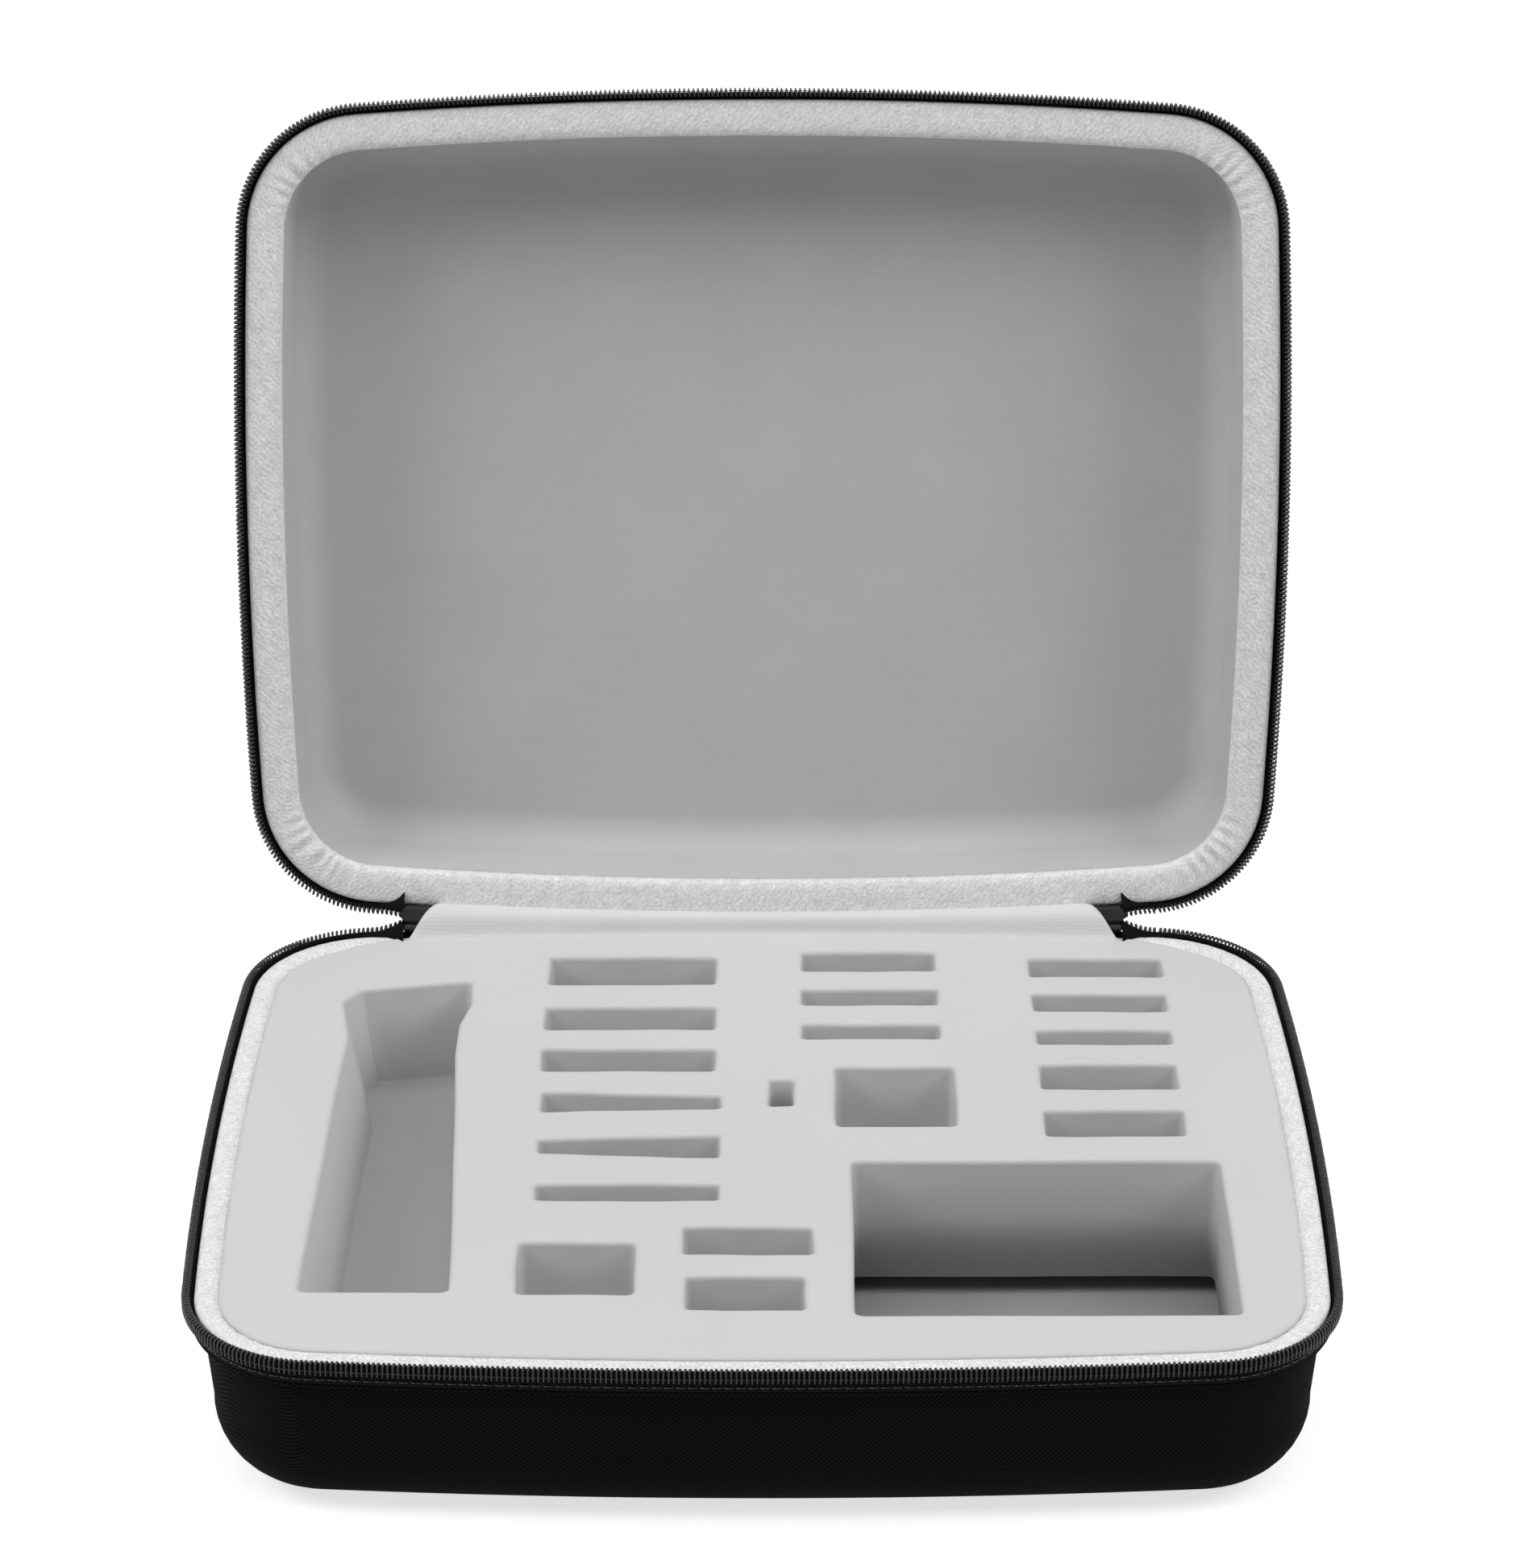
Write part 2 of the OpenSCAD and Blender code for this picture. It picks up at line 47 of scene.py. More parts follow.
# Sizes of the case that every piece below is built on, in millimetres
case = {"width": 290.0, "depth": 236.0, "cornerRadius": 35.5, "longBow": 1500.0, "sideBow": 1540.0,
        "foldIn": 1.6, "openAngle": 100.0, "wallIn": 4.0, "baseHeight": 50.0, "backBand": 12.0}
baseShell = {"height": 50.0, "draft": 4.0, "fillet": 20.0, "isLid": False}
lidShell = {"height": 40.0, "draft": 4.0, "fillet": 17.0, "isLid": True}
shells = {"base": baseShell, "lid": lidShell}
foldY, foldZ = case["depth"] / 2 - case["foldIn"], case["baseHeight"]


# Outline of the case: arcs, counter-clockwise from the middle of the back
def cornerCentre():
    backC = np.array([0.0, case["depth"] / 2 - case["longBow"]])
    sideC = np.array([case["width"] / 2 - case["sideBow"], 0.0])
    reachA, reachB = case["longBow"] - case["cornerRadius"], case["sideBow"] - case["cornerRadius"]
    gap = sideC - backC
    between = np.hypot(*gap)
    along = (reachA ** 2 - reachB ** 2 + between ** 2) / (2 * between)
    across = math.sqrt(reachA ** 2 - along ** 2)
    unit = gap / between
    return backC + along * unit + across * np.array([unit[1], -unit[0]]), backC, sideC


def outline(step, cornerSteps):
    # A row for each point: its arc's centre and radius, angle, the way run, and 1 in the middle of a corner
    corner, backC, sideC = cornerCentre()
    backHalf = math.atan2(corner[0], corner[1] - backC[1])
    sideHalf = math.atan2(corner[1], corner[0] - sideC[0])
    turn = math.pi / 2 - backHalf - sideHalf
    quarter, longR, sideR, cornerR = math.pi / 2, case["longBow"], case["sideBow"], case["cornerRadius"]
    arcs = [(backC, longR, quarter, backHalf),
            (corner * [-1, 1], cornerR, quarter + backHalf, turn),
            (-sideC, sideR, 2 * quarter - sideHalf, 2 * sideHalf),
            (-corner, cornerR, 2 * quarter + sideHalf, turn),
            (-backC, longR, 3 * quarter - backHalf, 2 * backHalf),
            (corner * [1, -1], cornerR, 3 * quarter + backHalf, turn),
            (sideC, sideR, -sideHalf, 2 * sideHalf),
            (corner, cornerR, sideHalf, turn),
            (backC, longR, quarter - backHalf, backHalf)]
    rows, length = [], 0.0
    for centre, radius, start, sweep in arcs:
        isCorner = radius == cornerR
        count = cornerSteps if isCorner else max(2, int(round(radius * sweep / step)))
        for k in range(count):
            share = k / count
            rows.append((centre[0], centre[1], radius, start + sweep * share, length + radius * sweep * share,
                         math.sin(math.pi * share) ** 2 if isCorner else 0.0))
        length += radius * sweep
    return {"rows": np.array(rows), "length": length, "tangentX": corner[0] + cornerR * math.sin(backHalf)}


def at(path, inset, z):
    rows = path["rows"]
    r = rows[:, 2] - inset
    x, y = rows[:, 0] + r * np.cos(rows[:, 3]), rows[:, 1] + r * np.sin(rows[:, 3])
    return np.column_stack([x, y, np.zeros(len(rows)) + z])


def part(path, low, high):
    # The stretch of the outline round the front, open at the back between -low and high
    x, y, z = at(path, 0, 0).T
    gap = (y > case["depth"] / 2 - case["backBand"]) & (x > -low) & (x < high)
    return {**path, "rows": path["rows"][~gap]}


def turned(points, degrees):
    # Turns points about the fold line; an array gives each point its own angle
    a = np.radians(degrees)
    y, z = points[..., 1] - foldY, points[..., 2] - foldZ
    back, up = y * np.cos(a) - z * np.sin(a), y * np.sin(a) + z * np.cos(a)
    return np.stack([points[..., 0], foldY + back, foldZ + up], -1)


def placed(points, shell):
    # From a shell's own heights to the object: the lid is mirrored over the rim and opened
    if not shell["isLid"]:
        return points
    lid = points.copy()
    lid[..., 2] = case["baseHeight"] + shell["height"] - lid[..., 2]
    return turned(lid, -case["openAngle"])


def wallAt(shell, z, depth):
    # Inset of the leaning wall at a height, a depth under its outer face
    lean = math.atan(shell["draft"] / shell["height"])
    return case["wallIn"] + (shell["height"] - z) * math.tan(lean) + depth / math.cos(lean)


def profile(shell, depth, top, steps=12, wallSteps=6):
    # Inset and height from the top of the wall to the edge of the floor
    lean = math.degrees(math.atan(shell["draft"] / shell["height"]))
    centre, r = shell["fillet"], shell["fillet"] - depth
    foot = wallAt(shell, centre, centre)
    angles = np.radians(np.linspace(180 - lean, 270, steps + 1))
    arc = np.column_stack([foot + r * np.cos(angles), centre + r * np.sin(angles)])
    first = np.array([wallAt(shell, top, depth), top])
    wall = [first + (arc[0] - first) * k / wallSteps for k in range(wallSteps)]
    return np.vstack([wall, arc])


def runAlong(points):
    # The way run to each point of a line, from 0
    return np.concatenate([[0], np.cumsum(np.linalg.norm(np.diff(points, axis=0), axis=1))])


rng = np.random.default_rng(7)
waveTable = rng.uniform(-1, 1, (12, 64))


def waves(s, length, count, row):
    # Smooth bumps that repeat once round the case, count of them
    t = s / length * count
    i = np.floor(t).astype(int)
    f = t - i
    f = f * f * (3 - 2 * f)
    table = waveTable[row]
    a, b = table[i % count % len(table)], table[(i + 1) % count % len(table)]
    return a + (b - a) * f


# Mesh helpers
def addObject(name, data):
    obj = bpy.data.objects.new(name, data)
    bpy.context.scene.collection.objects.link(obj)
    return obj


def meshObject(name, verts, faces, uvs=None, smooth=True):
    mesh = bpy.data.meshes.new(name)
    mesh.from_pydata((np.asarray(verts) * mm).tolist(), [], faces)
    if uvs is not None:
        layer = mesh.uv_layers.new(name="UVMap")
        layer.data.foreach_set("uv", (np.asarray(uvs, float) * mm).ravel())
    mesh.polygons.foreach_set("use_smooth", [smooth] * len(mesh.polygons))
    return addObject(name, mesh)


def outwards(obj):
    # A closed mesh is turned so that its volume is positive
    bm = bmesh.new()
    bm.from_mesh(obj.data)
    if bm.calc_volume(signed=True) < 0:
        bmesh.ops.reverse_faces(bm, faces=bm.faces)
    bm.to_mesh(obj.data)
    bm.free()
    return obj


def band(name, path, section, shell, closed=True, lift=None):
    # A closed section of inset and height goes round the outline
    rows = path["rows"]
    n, m = len(rows), len(section)
    grid = np.stack([at(path, u, z) for u, z in section], 1)
    if lift is not None:
        grid = grid + lift(rows, section)
    grid = placed(grid, shell)
    across = runAlong(np.vstack([section, section[:1]]))
    s = np.append(rows[:, 4], path["length"])
    faces, uvs = [], []
    for i in range(n if closed else n - 1):
        i2 = (i + 1) % n
        for j in range(m):
            j2 = (j + 1) % m
            faces.append((i * m + j, i2 * m + j, i2 * m + j2, i * m + j2))
            uvs += [(s[i], across[j]), (s[i + 1], across[j]), (s[i + 1], across[j + 1]), (s[i], across[j + 1])]
    if not closed:
        faces += [tuple(range(m)), tuple(range((n - 1) * m, n * m))]
        uvs += [(s[0], across[j]) for j in range(m)] + [(s[n - 1], across[j]) for j in range(m)]
    return outwards(meshObject(name, grid.reshape(-1, 3), faces, uvs))


floorShares = (0.97, 0.9, 0.8, 0.68, 0.55, 0.42, 0.3, 0.18, 0.08)  # rings of a floor, from edge to middle
cornerPull = 0.32  # how far the flat cloth is drawn in where it goes round a corner


def pan(name, path, shell, layer):
    # A thin double-walled bowl: floor, rounded edge and wall, inside and outside
    # Its UV is the flat cloth it was pressed from
    rows, length = path["rows"], path["length"]
    n = len(rows)
    normal = np.column_stack([np.cos(rows[:, 3]), np.sin(rows[:, 3])])
    pull = 1 - cornerPull * rows[:, 5]
    dents = layer["lidDents"] if shell["isLid"] else layer["baseDents"]
    wobble = waves(rows[:, 4], length, 17, layer["row"]) * 0.6
    wobble += waves(rows[:, 4], length, 41, layer["row"] + 3) * 0.4
    depths = layer["depth"], layer["depth"] + layer["thickness"]
    rings, maps = [], []
    for isInner, depth in enumerate(depths):
        line = profile(shell, depth, shell["height"] - layer["top"])
        run = runAlong(line[::-1])[::-1]
        foot = at(path, *line[-1])
        whole = []
        for k, ((u, z), r) in enumerate(zip(line, run)):
            points = at(path, u, z)
            fade = math.sin(math.pi * k / (len(line) - 1)) * dents
            points[:, :2] += normal * (wobble * fade)[:, None]
            whole.append((points, foot[:, :2] + normal * (r * pull)[:, None]))
        whole += [(foot * [f, f, 1], foot[:, :2] * f) for f in floorShares]
        if not isInner:
            whole = whole[::-1]
        rings += [points for points, flat in whole]
        maps += [flat for points, flat in whole]
    count = len(rings)
    verts = placed(np.vstack(rings + [[[0, 0, depth]] for depth in depths]), shell)
    flat = np.vstack(maps + [[[0, 0]], [[0, 0]]])
    after = [(i + 1) % n for i in range(n)]
    faces = [(k * n + i, k * n + after[i], (k + 1) * n + after[i], (k + 1) * n + i)
             for k in range(count - 1) for i in range(n)]
    for i in range(n):
        faces.append((count * n, after[i], i))
        faces.append((count * n + 1, (count - 1) * n + i, (count - 1) * n + after[i]))
    return outwards(meshObject(name, verts, faces, [flat[v] for f in faces for v in f]))


# Shader helpers
def fill(tree, node, values):
    # Sets inputs by name or number, each to a value or to another node's output
    for label, value in values.items():
        if isinstance(value, bpy.types.NodeSocket):
            tree.links.new(value, node.inputs[label])
        else:
            node.inputs[label].default_value = value
    return node


def addNode(tree, kind, values):
    return fill(tree, tree.nodes.new(kind), values)


def calc(tree, operation, *values):
    node = tree.nodes.new("ShaderNodeMath")
    node.operation = operation
    return fill(tree, node, dict(enumerate(values))).outputs[0]


def blendColour(tree, amount, a, b, mode="MIX"):
    node = tree.nodes.new("ShaderNodeMix")
    node.data_type, node.blend_type = "RGBA", mode
    return fill(tree, node, {0: amount, 6: a, 7: b}).outputs[2]


def spanned(tree, value, start, end, low=0.0, high=1.0):
    # Carries start to end over to low to high
    return addNode(tree, "ShaderNodeMapRange", {"Value": value, "From Min": start, "From Max": end,
                                                "To Min": low, "To Max": high}).outputs[0]


def shaded(tree, colour, share):
    shade = addNode(tree, "ShaderNodeCombineColor", {k: share for k in range(3)})
    return blendColour(tree, 1.0, colour, shade.outputs[0], "MULTIPLY")


def newGroup(name, inputs, outputs):
    tree = bpy.data.node_groups.new(name, "ShaderNodeTree")
    tree.interface.new_socket(name="Vector", in_out="INPUT", socket_type="NodeSocketVector")
    for label, value in inputs.items():
        socket = tree.interface.new_socket(name=label, in_out="INPUT", socket_type="NodeSocketFloat")
        socket.default_value = value
    for label in outputs:
        tree.interface.new_socket(name=label, in_out="OUTPUT", socket_type="NodeSocketFloat")
    return tree, tree.nodes.new("NodeGroupInput").outputs, tree.nodes.new("NodeGroupOutput")


def addNoise(tree, vector, scale, detail):
    noise = addNode(tree, "ShaderNodeTexNoise", {"Vector": vector, "Scale": scale, "Detail": detail})
    return noise.outputs["Fac"]


def makeWeaveGroup():
    # Slanted ribs of short yarns: a twill, a rib knit or a tape, by its spacing, step and turn
    inputs = {"Spacing": 0.001, "Step": 0.001, "Turn": 0.0, "Wander": 0.0, "Drift": 140.0}
    tree, given, end = newGroup("wovenRibs", inputs, ["Height", "Rib"])
    turn = tree.nodes.new("ShaderNodeVectorRotate")
    turn.rotation_type = "Z_AXIS"
    fill(tree, turn, {"Vector": given["Vector"], "Angle": given["Turn"]})
    split = addNode(tree, "ShaderNodeSeparateXYZ", {0: turn.outputs[0]})
    drift = addNoise(tree, given["Vector"], given["Drift"], 3.0)
    shift = calc(tree, "MULTIPLY", calc(tree, "SUBTRACT", drift, 0.5), given["Wander"])
    across = calc(tree, "DIVIDE", calc(tree, "ADD", split.outputs["X"], shift), given["Spacing"])
    along = calc(tree, "DIVIDE", split.outputs["Y"], given["Step"])
    wave = calc(tree, "COSINE", calc(tree, "MULTIPLY", across, 2 * math.pi))
    rib = calc(tree, "POWER", calc(tree, "MULTIPLY_ADD", wave, 0.5, 0.5), 0.8)
    stagger = calc(tree, "MULTIPLY_ADD", calc(tree, "FLOOR", across), 0.37, along)
    yarn = calc(tree, "ABSOLUTE", calc(tree, "SINE", calc(tree, "MULTIPLY", stagger, math.pi)))
    height = calc(tree, "MULTIPLY", rib, calc(tree, "MULTIPLY_ADD", yarn, 0.45, 0.55))
    fill(tree, end, {"Height": height, "Rib": rib})
    return tree


def makeToneGroup():
    # Slow cloudy change of tone with a finer grain over it
    inputs = {"Cloud": 20.0, "Grain": 900.0, "Grain Share": 0.3}
    tree, given, end = newGroup("toneDrift", inputs, ["Tone", "Grain"])
    cloud = addNoise(tree, given["Vector"], given["Cloud"], 3.0)
    grain = addNoise(tree, given["Vector"], given["Grain"], 2.0)
    rest = calc(tree, "SUBTRACT", 1.0, given["Grain Share"])
    fine = calc(tree, "MULTIPLY", grain, given["Grain Share"])
    fill(tree, end, {"Tone": calc(tree, "MULTIPLY_ADD", cloud, rest, fine), "Grain": grain})
    return tree


weaveGroup, toneGroup = makeWeaveGroup(), makeToneGroup()


def useGroup(tree, group, vector, values):
    node = tree.nodes.new("ShaderNodeGroup")
    node.node_tree = group
    return fill(tree, node, {"Vector": vector, **values}).outputs


def startMaterial(name, roughness, specular):
    material = bpy.data.materials.new(name)
    material.use_nodes = True
    tree = material.node_tree
    shader = next(n for n in tree.nodes if n.type == "BSDF_PRINCIPLED")
    return material, tree, fill(tree, shader, {"Roughness": roughness, "Specular IOR Level": specular})


def grey(value, tint=(1, 1, 1)):
    return (value * tint[0], value * tint[1], value * tint[2], 1.0)


def startLook(name, look, source):
    # What cloth and solids share: the shader, the piece's coordinates and the drift of tone on them
    material, tree, shader = startMaterial(name, look["roughness"], look["specular"])
    coords = tree.nodes.new("ShaderNodeTexCoord").outputs[source]
    tone = useGroup(tree, toneGroup, coords, {"Cloud": look["cloud"], "Grain": look["grain"],
                                              "Grain Share": look["share"]})
    return material, tree, shader, coords, tone


def finishLook(tree, shader, look, colour, height):
    bump = addNode(tree, "ShaderNodeBump", {"Strength": look["bump"], "Distance": look["relief"],
                                            "Height": height})
    fill(tree, shader, {"Base Color": colour, "Normal": bump.outputs[0]})


clothDefaults = {"specular": 0.1, "wander": 0.0, "wanderScale": 140.0, "cloud": 25.0, "grain": 1500.0,
                 "share": 0.35, "fuzz": 0.25, "crumple": 0.0, "tint": (1, 1, 1)}
solidDefaults = {"specular": 0.4, "share": 0.3, "polish": 0.1, "tint": (1, 1, 1), "paintedDepthShade": None}
toneFrom, toneTo = 0.3, 0.7  # the noise hardly leaves this range


def clothMaterial(name, look):
    # Woven or knitted cloth on the piece's own UV, whose unit is the metre
    look = {**clothDefaults, **look}
    material, tree, shader, coords, tone = startLook(name, look, "UV")
    weave = useGroup(tree, weaveGroup, coords, {"Spacing": look["spacing"], "Step": look["step"],
                                                "Turn": math.radians(look["turn"]), "Wander": look["wander"],
                                                "Drift": look["wanderScale"]})
    body = blendColour(tree, weave["Rib"], grey(look["low"], look["tint"]), grey(look["high"], look["tint"]))
    drift = spanned(tree, tone["Tone"], toneFrom, toneTo, 1 - look["drift"], 1 + look["drift"] * 0.5)
    height = calc(tree, "MULTIPLY_ADD", tone["Grain"], look["fuzz"], weave["Height"])
    if look["crumple"]:
        height = calc(tree, "MULTIPLY_ADD", tone["Tone"], look["crumple"], height)
    finishLook(tree, shader, look, shaded(tree, body, drift), height)
    return material


def solidMaterial(name, look):
    # Foam, plastic, rubber or painted metal on Object coordinates, with painted shade by depth where the look
    # asks for it
    look = {**solidDefaults, **look}
    material, tree, shader, coords, tone = startLook(name, look, "Object")
    amount = spanned(tree, tone["Tone"], toneFrom, toneTo)
    colour = blendColour(tree, amount, grey(look["low"], look["tint"]), grey(look["high"], look["tint"]))
    if look["paintedDepthShade"]:
        # Painted shade: cut cells are darker the deeper they lie, standing in for the shade down in the pockets
        top, low, shade = look["paintedDepthShade"]
        height = addNode(tree, "ShaderNodeSeparateXYZ", {0: coords})
        colour = shaded(tree, colour, spanned(tree, height.outputs["Z"], low, top, shade, 1.0))
    worn = calc(tree, "MULTIPLY_ADD", tone["Tone"], look["polish"], look["roughness"] - look["polish"] / 2)
    fill(tree, shader, {"Roughness": worn})
    finishLook(tree, shader, look, colour, tone["Grain"])
    return material


liningLook = {"spacing": 0.0007, "step": 0.0006, "turn": 90, "wander": 0.0003, "drift": 0.05, "roughness": 0.9,
              "bump": 0.18, "relief": 0.0001, "cloud": 30.0, "fuzz": 0.5}
finishes = {
    "twill": clothMaterial("blackTwill", {
        "low": 0.0006, "high": 0.014, "spacing": 0.00095, "step": 0.0016, "turn": -48, "wander": 0.0002,
        "drift": 0.2, "roughness": 0.85, "specular": 0.03, "bump": 0.9, "relief": 0.0002, "cloud": 18.0,
        "fuzz": 0.2}),
    "lining": clothMaterial("greyLining", {**liningLook, "low": 0.525, "high": 0.56}),
    # the lid's lining cloth, darker all over as painted shade for the deep base
    "baseLiningPaintedShade": clothMaterial("paintedShadeLining", {**liningLook, "low": 0.32, "high": 0.34}),
    "binding": clothMaterial("paleBinding", {
        "low": 0.79, "high": 0.91, "spacing": 0.0014, "step": 0.0011, "turn": 140, "wander": 0.004,
        "wanderScale": 420.0, "drift": 0.24, "roughness": 0.88, "bump": 0.32, "relief": 0.0002, "cloud": 300.0,
        "grain": 1200.0, "share": 0.6, "fuzz": 0.8, "crumple": 2.2}),
    "flap": clothMaterial("flapCloth", {
        "low": 0.71, "high": 0.75, "spacing": 0.0008, "step": 0.0008, "turn": 90, "wander": 0.0003,
        "drift": 0.04, "roughness": 0.92, "bump": 0.15, "relief": 0.0001, "cloud": 40.0, "fuzz": 0.5,
        "tint": (1.0, 0.99, 0.99)}),
    "tape": clothMaterial("zipTapeWeave", {
        "low": 0.003, "high": 0.010, "spacing": 0.0007, "step": 0.0007, "turn": 90, "drift": 0.15,
        "roughness": 0.8, "specular": 0.05, "bump": 0.6, "relief": 0.00012, "cloud": 40.0, "fuzz": 0.3}),
    "coil": solidMaterial("nylonCoil", {
        "low": 0.013, "high": 0.034, "roughness": 0.3, "specular": 0.3, "cloud": 90.0, "grain": 3000.0,
        "bump": 0.1, "relief": 0.00003}),
    "thread": solidMaterial("sewingThread", {
        "low": 0.07, "high": 0.14, "roughness": 0.6, "cloud": 300.0, "grain": 5000.0,
        "bump": 0.6, "relief": 0.00005}),
    "foam": solidMaterial("cutFoam", {
        "low": 0.645, "high": 0.675, "roughness": 0.92, "specular": 0.06, "cloud": 14.0, "grain": 1600.0,
        "share": 0.4, "bump": 0.25, "relief": 0.00012, "tint": (1.0, 0.99, 0.99),
        # painted shade: the foam's colour is darker down in its cuts
        "paintedDepthShade": (0.042, 0.018, 0.72)}),
    "wall": solidMaterial("mouldedFoam", {
        "low": 0.02, "high": 0.035, "roughness": 0.85, "specular": 0.1, "cloud": 60.0, "grain": 2000.0,
        "bump": 0.3, "relief": 0.0001}),
    "metal": solidMaterial("blackZipMetal", {
        "low": 0.005, "high": 0.012, "roughness": 0.5, "specular": 0.15, "cloud": 200.0, "grain": 2500.0,
        "polish": 0.2, "bump": 0.15, "relief": 0.00003}),
    "rubber": solidMaterial("softPull", {
        "low": 0.01, "high": 0.016, "roughness": 0.62, "specular": 0.15, "cloud": 120.0, "grain": 4000.0,
        "bump": 0.3, "relief": 0.00004})}


def setFinish(obj, finish):
    obj.data.materials.clear()
    obj.data.materials.append(finishes[finish])


def dress(obj, finish, body=None, nodes=()):
    setFinish(obj, finish)
    if body:
        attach(obj, body)
    if nodes:
        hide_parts(*nodes)


print("finishes ready:", len(finishes))

# Skin and lining of both shells; the base's lining is the same cloth, darkened as painted shade
skin = {"depth": 0.0, "thickness": 0.7, "top": 7.4, "baseDents": 0.08, "lidDents": 0.12, "row": 1}
liner = {"depth": 7.1, "thickness": 0.7, "top": 3.4, "baseDents": 0.2, "lidDents": 0.2, "row": 5}
smoothPath, finePath = outline(4.0, 26), outline(1.2, 84)
for label, shell in shells.items():
    cover = pan(label + "TwillSkin", smoothPath, shell, skin)
    dress(cover, "twill", label, [label + "_outer_cover"])
    inside = pan(label + "ClothLining", smoothPath, shell, liner)
    dress(inside, "lining" if shell["isLid"] else "baseLiningPaintedShade", label, [label + "_lining"])
print("skins and linings made")

# Rim binding: a soft ribbon over the edge, gathered at the corners
ribbon = {"outer": 2.8, "inner": 12.75, "low": 3.1, "crown": 1.7, "tuck": 6.4, "ripple": 0.2, "gather": 1.15,
          "spread": 9.0, "foldPitch": 0.8, "push": 0.25, "flatTop": 46.92, "flatFrom": 94.0, "flatOver": 16.0,
          "shown": 11, "pushed": 10}  # how many of a section's points show, and how many ripple sideways


def ribbonSection(label, height):
    top, out, inner, tuck = height - ribbon["crown"], ribbon["outer"], ribbon["inner"], height - ribbon["tuck"]
    edge = [(out, height - ribbon["low"]), (out - 0.03, top - 0.75), (out + 0.25, top - 0.28),
            (out + 1.1, top - 0.08), (5.0, top)]
    if label == "base":
        return np.array(edge + [(6.0, top - 0.02), (6.8, top - 0.1), (7.4, top - 0.28), (7.9, top - 0.6),
                                (8.3, top - 1.0), (8.8, top - 1.3), (11.2, top - 1.36), (11.2, height - 3.17),
                                (9.0, height - 3.15)])
    return np.array(edge + [(7.0, top + 0.02), (8.8, top - 0.02), (10.3, top - 0.16), (inner - 0.75, top - 0.5),
                            (inner - 0.2, top - 1.05), (inner, top - 2.0), (inner - 0.02, tuck),
                            (inner - 0.5, tuck), (inner - 0.6, height - 3.05)])


def ribbonLift(rows, section):
    # Ripples along the ribbon, deeper and closer round the corners, strongest at its inner half
    n, m = len(rows), len(section)
    s, length = rows[:, 4], finePath["length"]
    share = np.clip((section[:, 0] - ribbon["outer"]) / ribbon["spread"], 0, 1)
    bare = waves(s, length, 61, 2) * 0.6 + waves(s, length, 149, 4) * 0.4
    pleats = np.sin(s / ribbon["foldPitch"] + 2.4 * waves(s, length, 110, 8))
    folds = (pleats + waves(s, length, 330, 10)) * 0.7 * (0.1 + rows[:, 5])
    lift = np.zeros((n, m, 3))
    shape = np.clip(share, 0.15, 1) * np.where(np.arange(m) < ribbon["shown"], 1, 0.2)
    lift[:, :, 2] = (bare * ribbon["ripple"])[:, None] * shape
    lift[:, :, 2] += (folds * ribbon["gather"] * 0.5)[:, None] * shape ** 1.5
    push = ((bare + folds) * ribbon["push"])[:, None] * share ** 3 * (np.arange(m) < ribbon["pushed"])
    lift[:, :, 0] = np.cos(rows[:, 3])[:, None] * push
    lift[:, :, 1] = np.sin(rows[:, 3])[:, None] * push
    return lift


def baseLift(rows, section):
    # At the back the base's binding lies flat under the insert's edge
    lift = ribbonLift(rows, section)
    x = rows[:, 0] + rows[:, 2] * np.cos(rows[:, 3])
    away = np.clip((np.abs(x) - ribbon["flatFrom"]) / ribbon["flatOver"], 0, 1)
    away = np.where(np.sin(rows[:, 3]) > 0.3, away, 1)[:, None]
    flat = np.clip(section[:, 1], None, ribbon["flatTop"]) - section[:, 1]
    lift[:, :, 2] = lift[:, :, 2] * away + flat[None, :] * (1 - away)
    return lift


for label, shell in shells.items():
    edge = band(label + "RimBinding", finePath, ribbonSection(label, shell["height"]), shell,
                lift=ribbonLift if shell["isLid"] else baseLift)
    dress(edge, "binding", label, [label + "_rim_binding"])
print("bindings made")

# Zip: woven tape, a hem under it, the coil's core, and what repeats along it
# Core and hem are insets and heights: the core's from the rim, the hem's from the tape's lower edge
zipper = {"tapeOut": 1.85, "tapeIn": 2.35, "tapeTop": 2.5, "tapeLow": 7.35, "pitch": 1.25, "height": 4.0,
          "thickness": 2.1, "mid": 2.1, "inset": 0.75, "wire": 0.28, "stitch": 2.9, "threadZ": 6.0,
          "bindInset": 0.62, "bindZ": 3.0, "hemLow": 9.0, "hemReach": 94.0, "endSlack": 0.01,
          "core": np.array([(1.1, -1.2), (1.5, -1.1), (1.87, -1.2), (1.87, -3.6), (1.0, -3.6), (0.8, -2.5)]),
          "hem": [(2.3, -0.02), (2.05, -0.25), (1.95, -0.75), (2.2, -1.2), (2.8, -1.55)]}
tangentX = smoothPath["tangentX"]
zipPath = part(outline(2.0, 30), tangentX - zipper["endSlack"], tangentX + zipper["endSlack"])
hemPath = part(outline(2.0, 30), zipper["hemReach"], zipper["hemReach"])


def pathObject(points):
    # An open line of edges for copies to follow
    mesh = bpy.data.meshes.new("path")
    mesh.from_pydata((points * mm).tolist(), [(k, k + 1) for k in range(len(points) - 1)], [])
    return addObject("path", mesh)


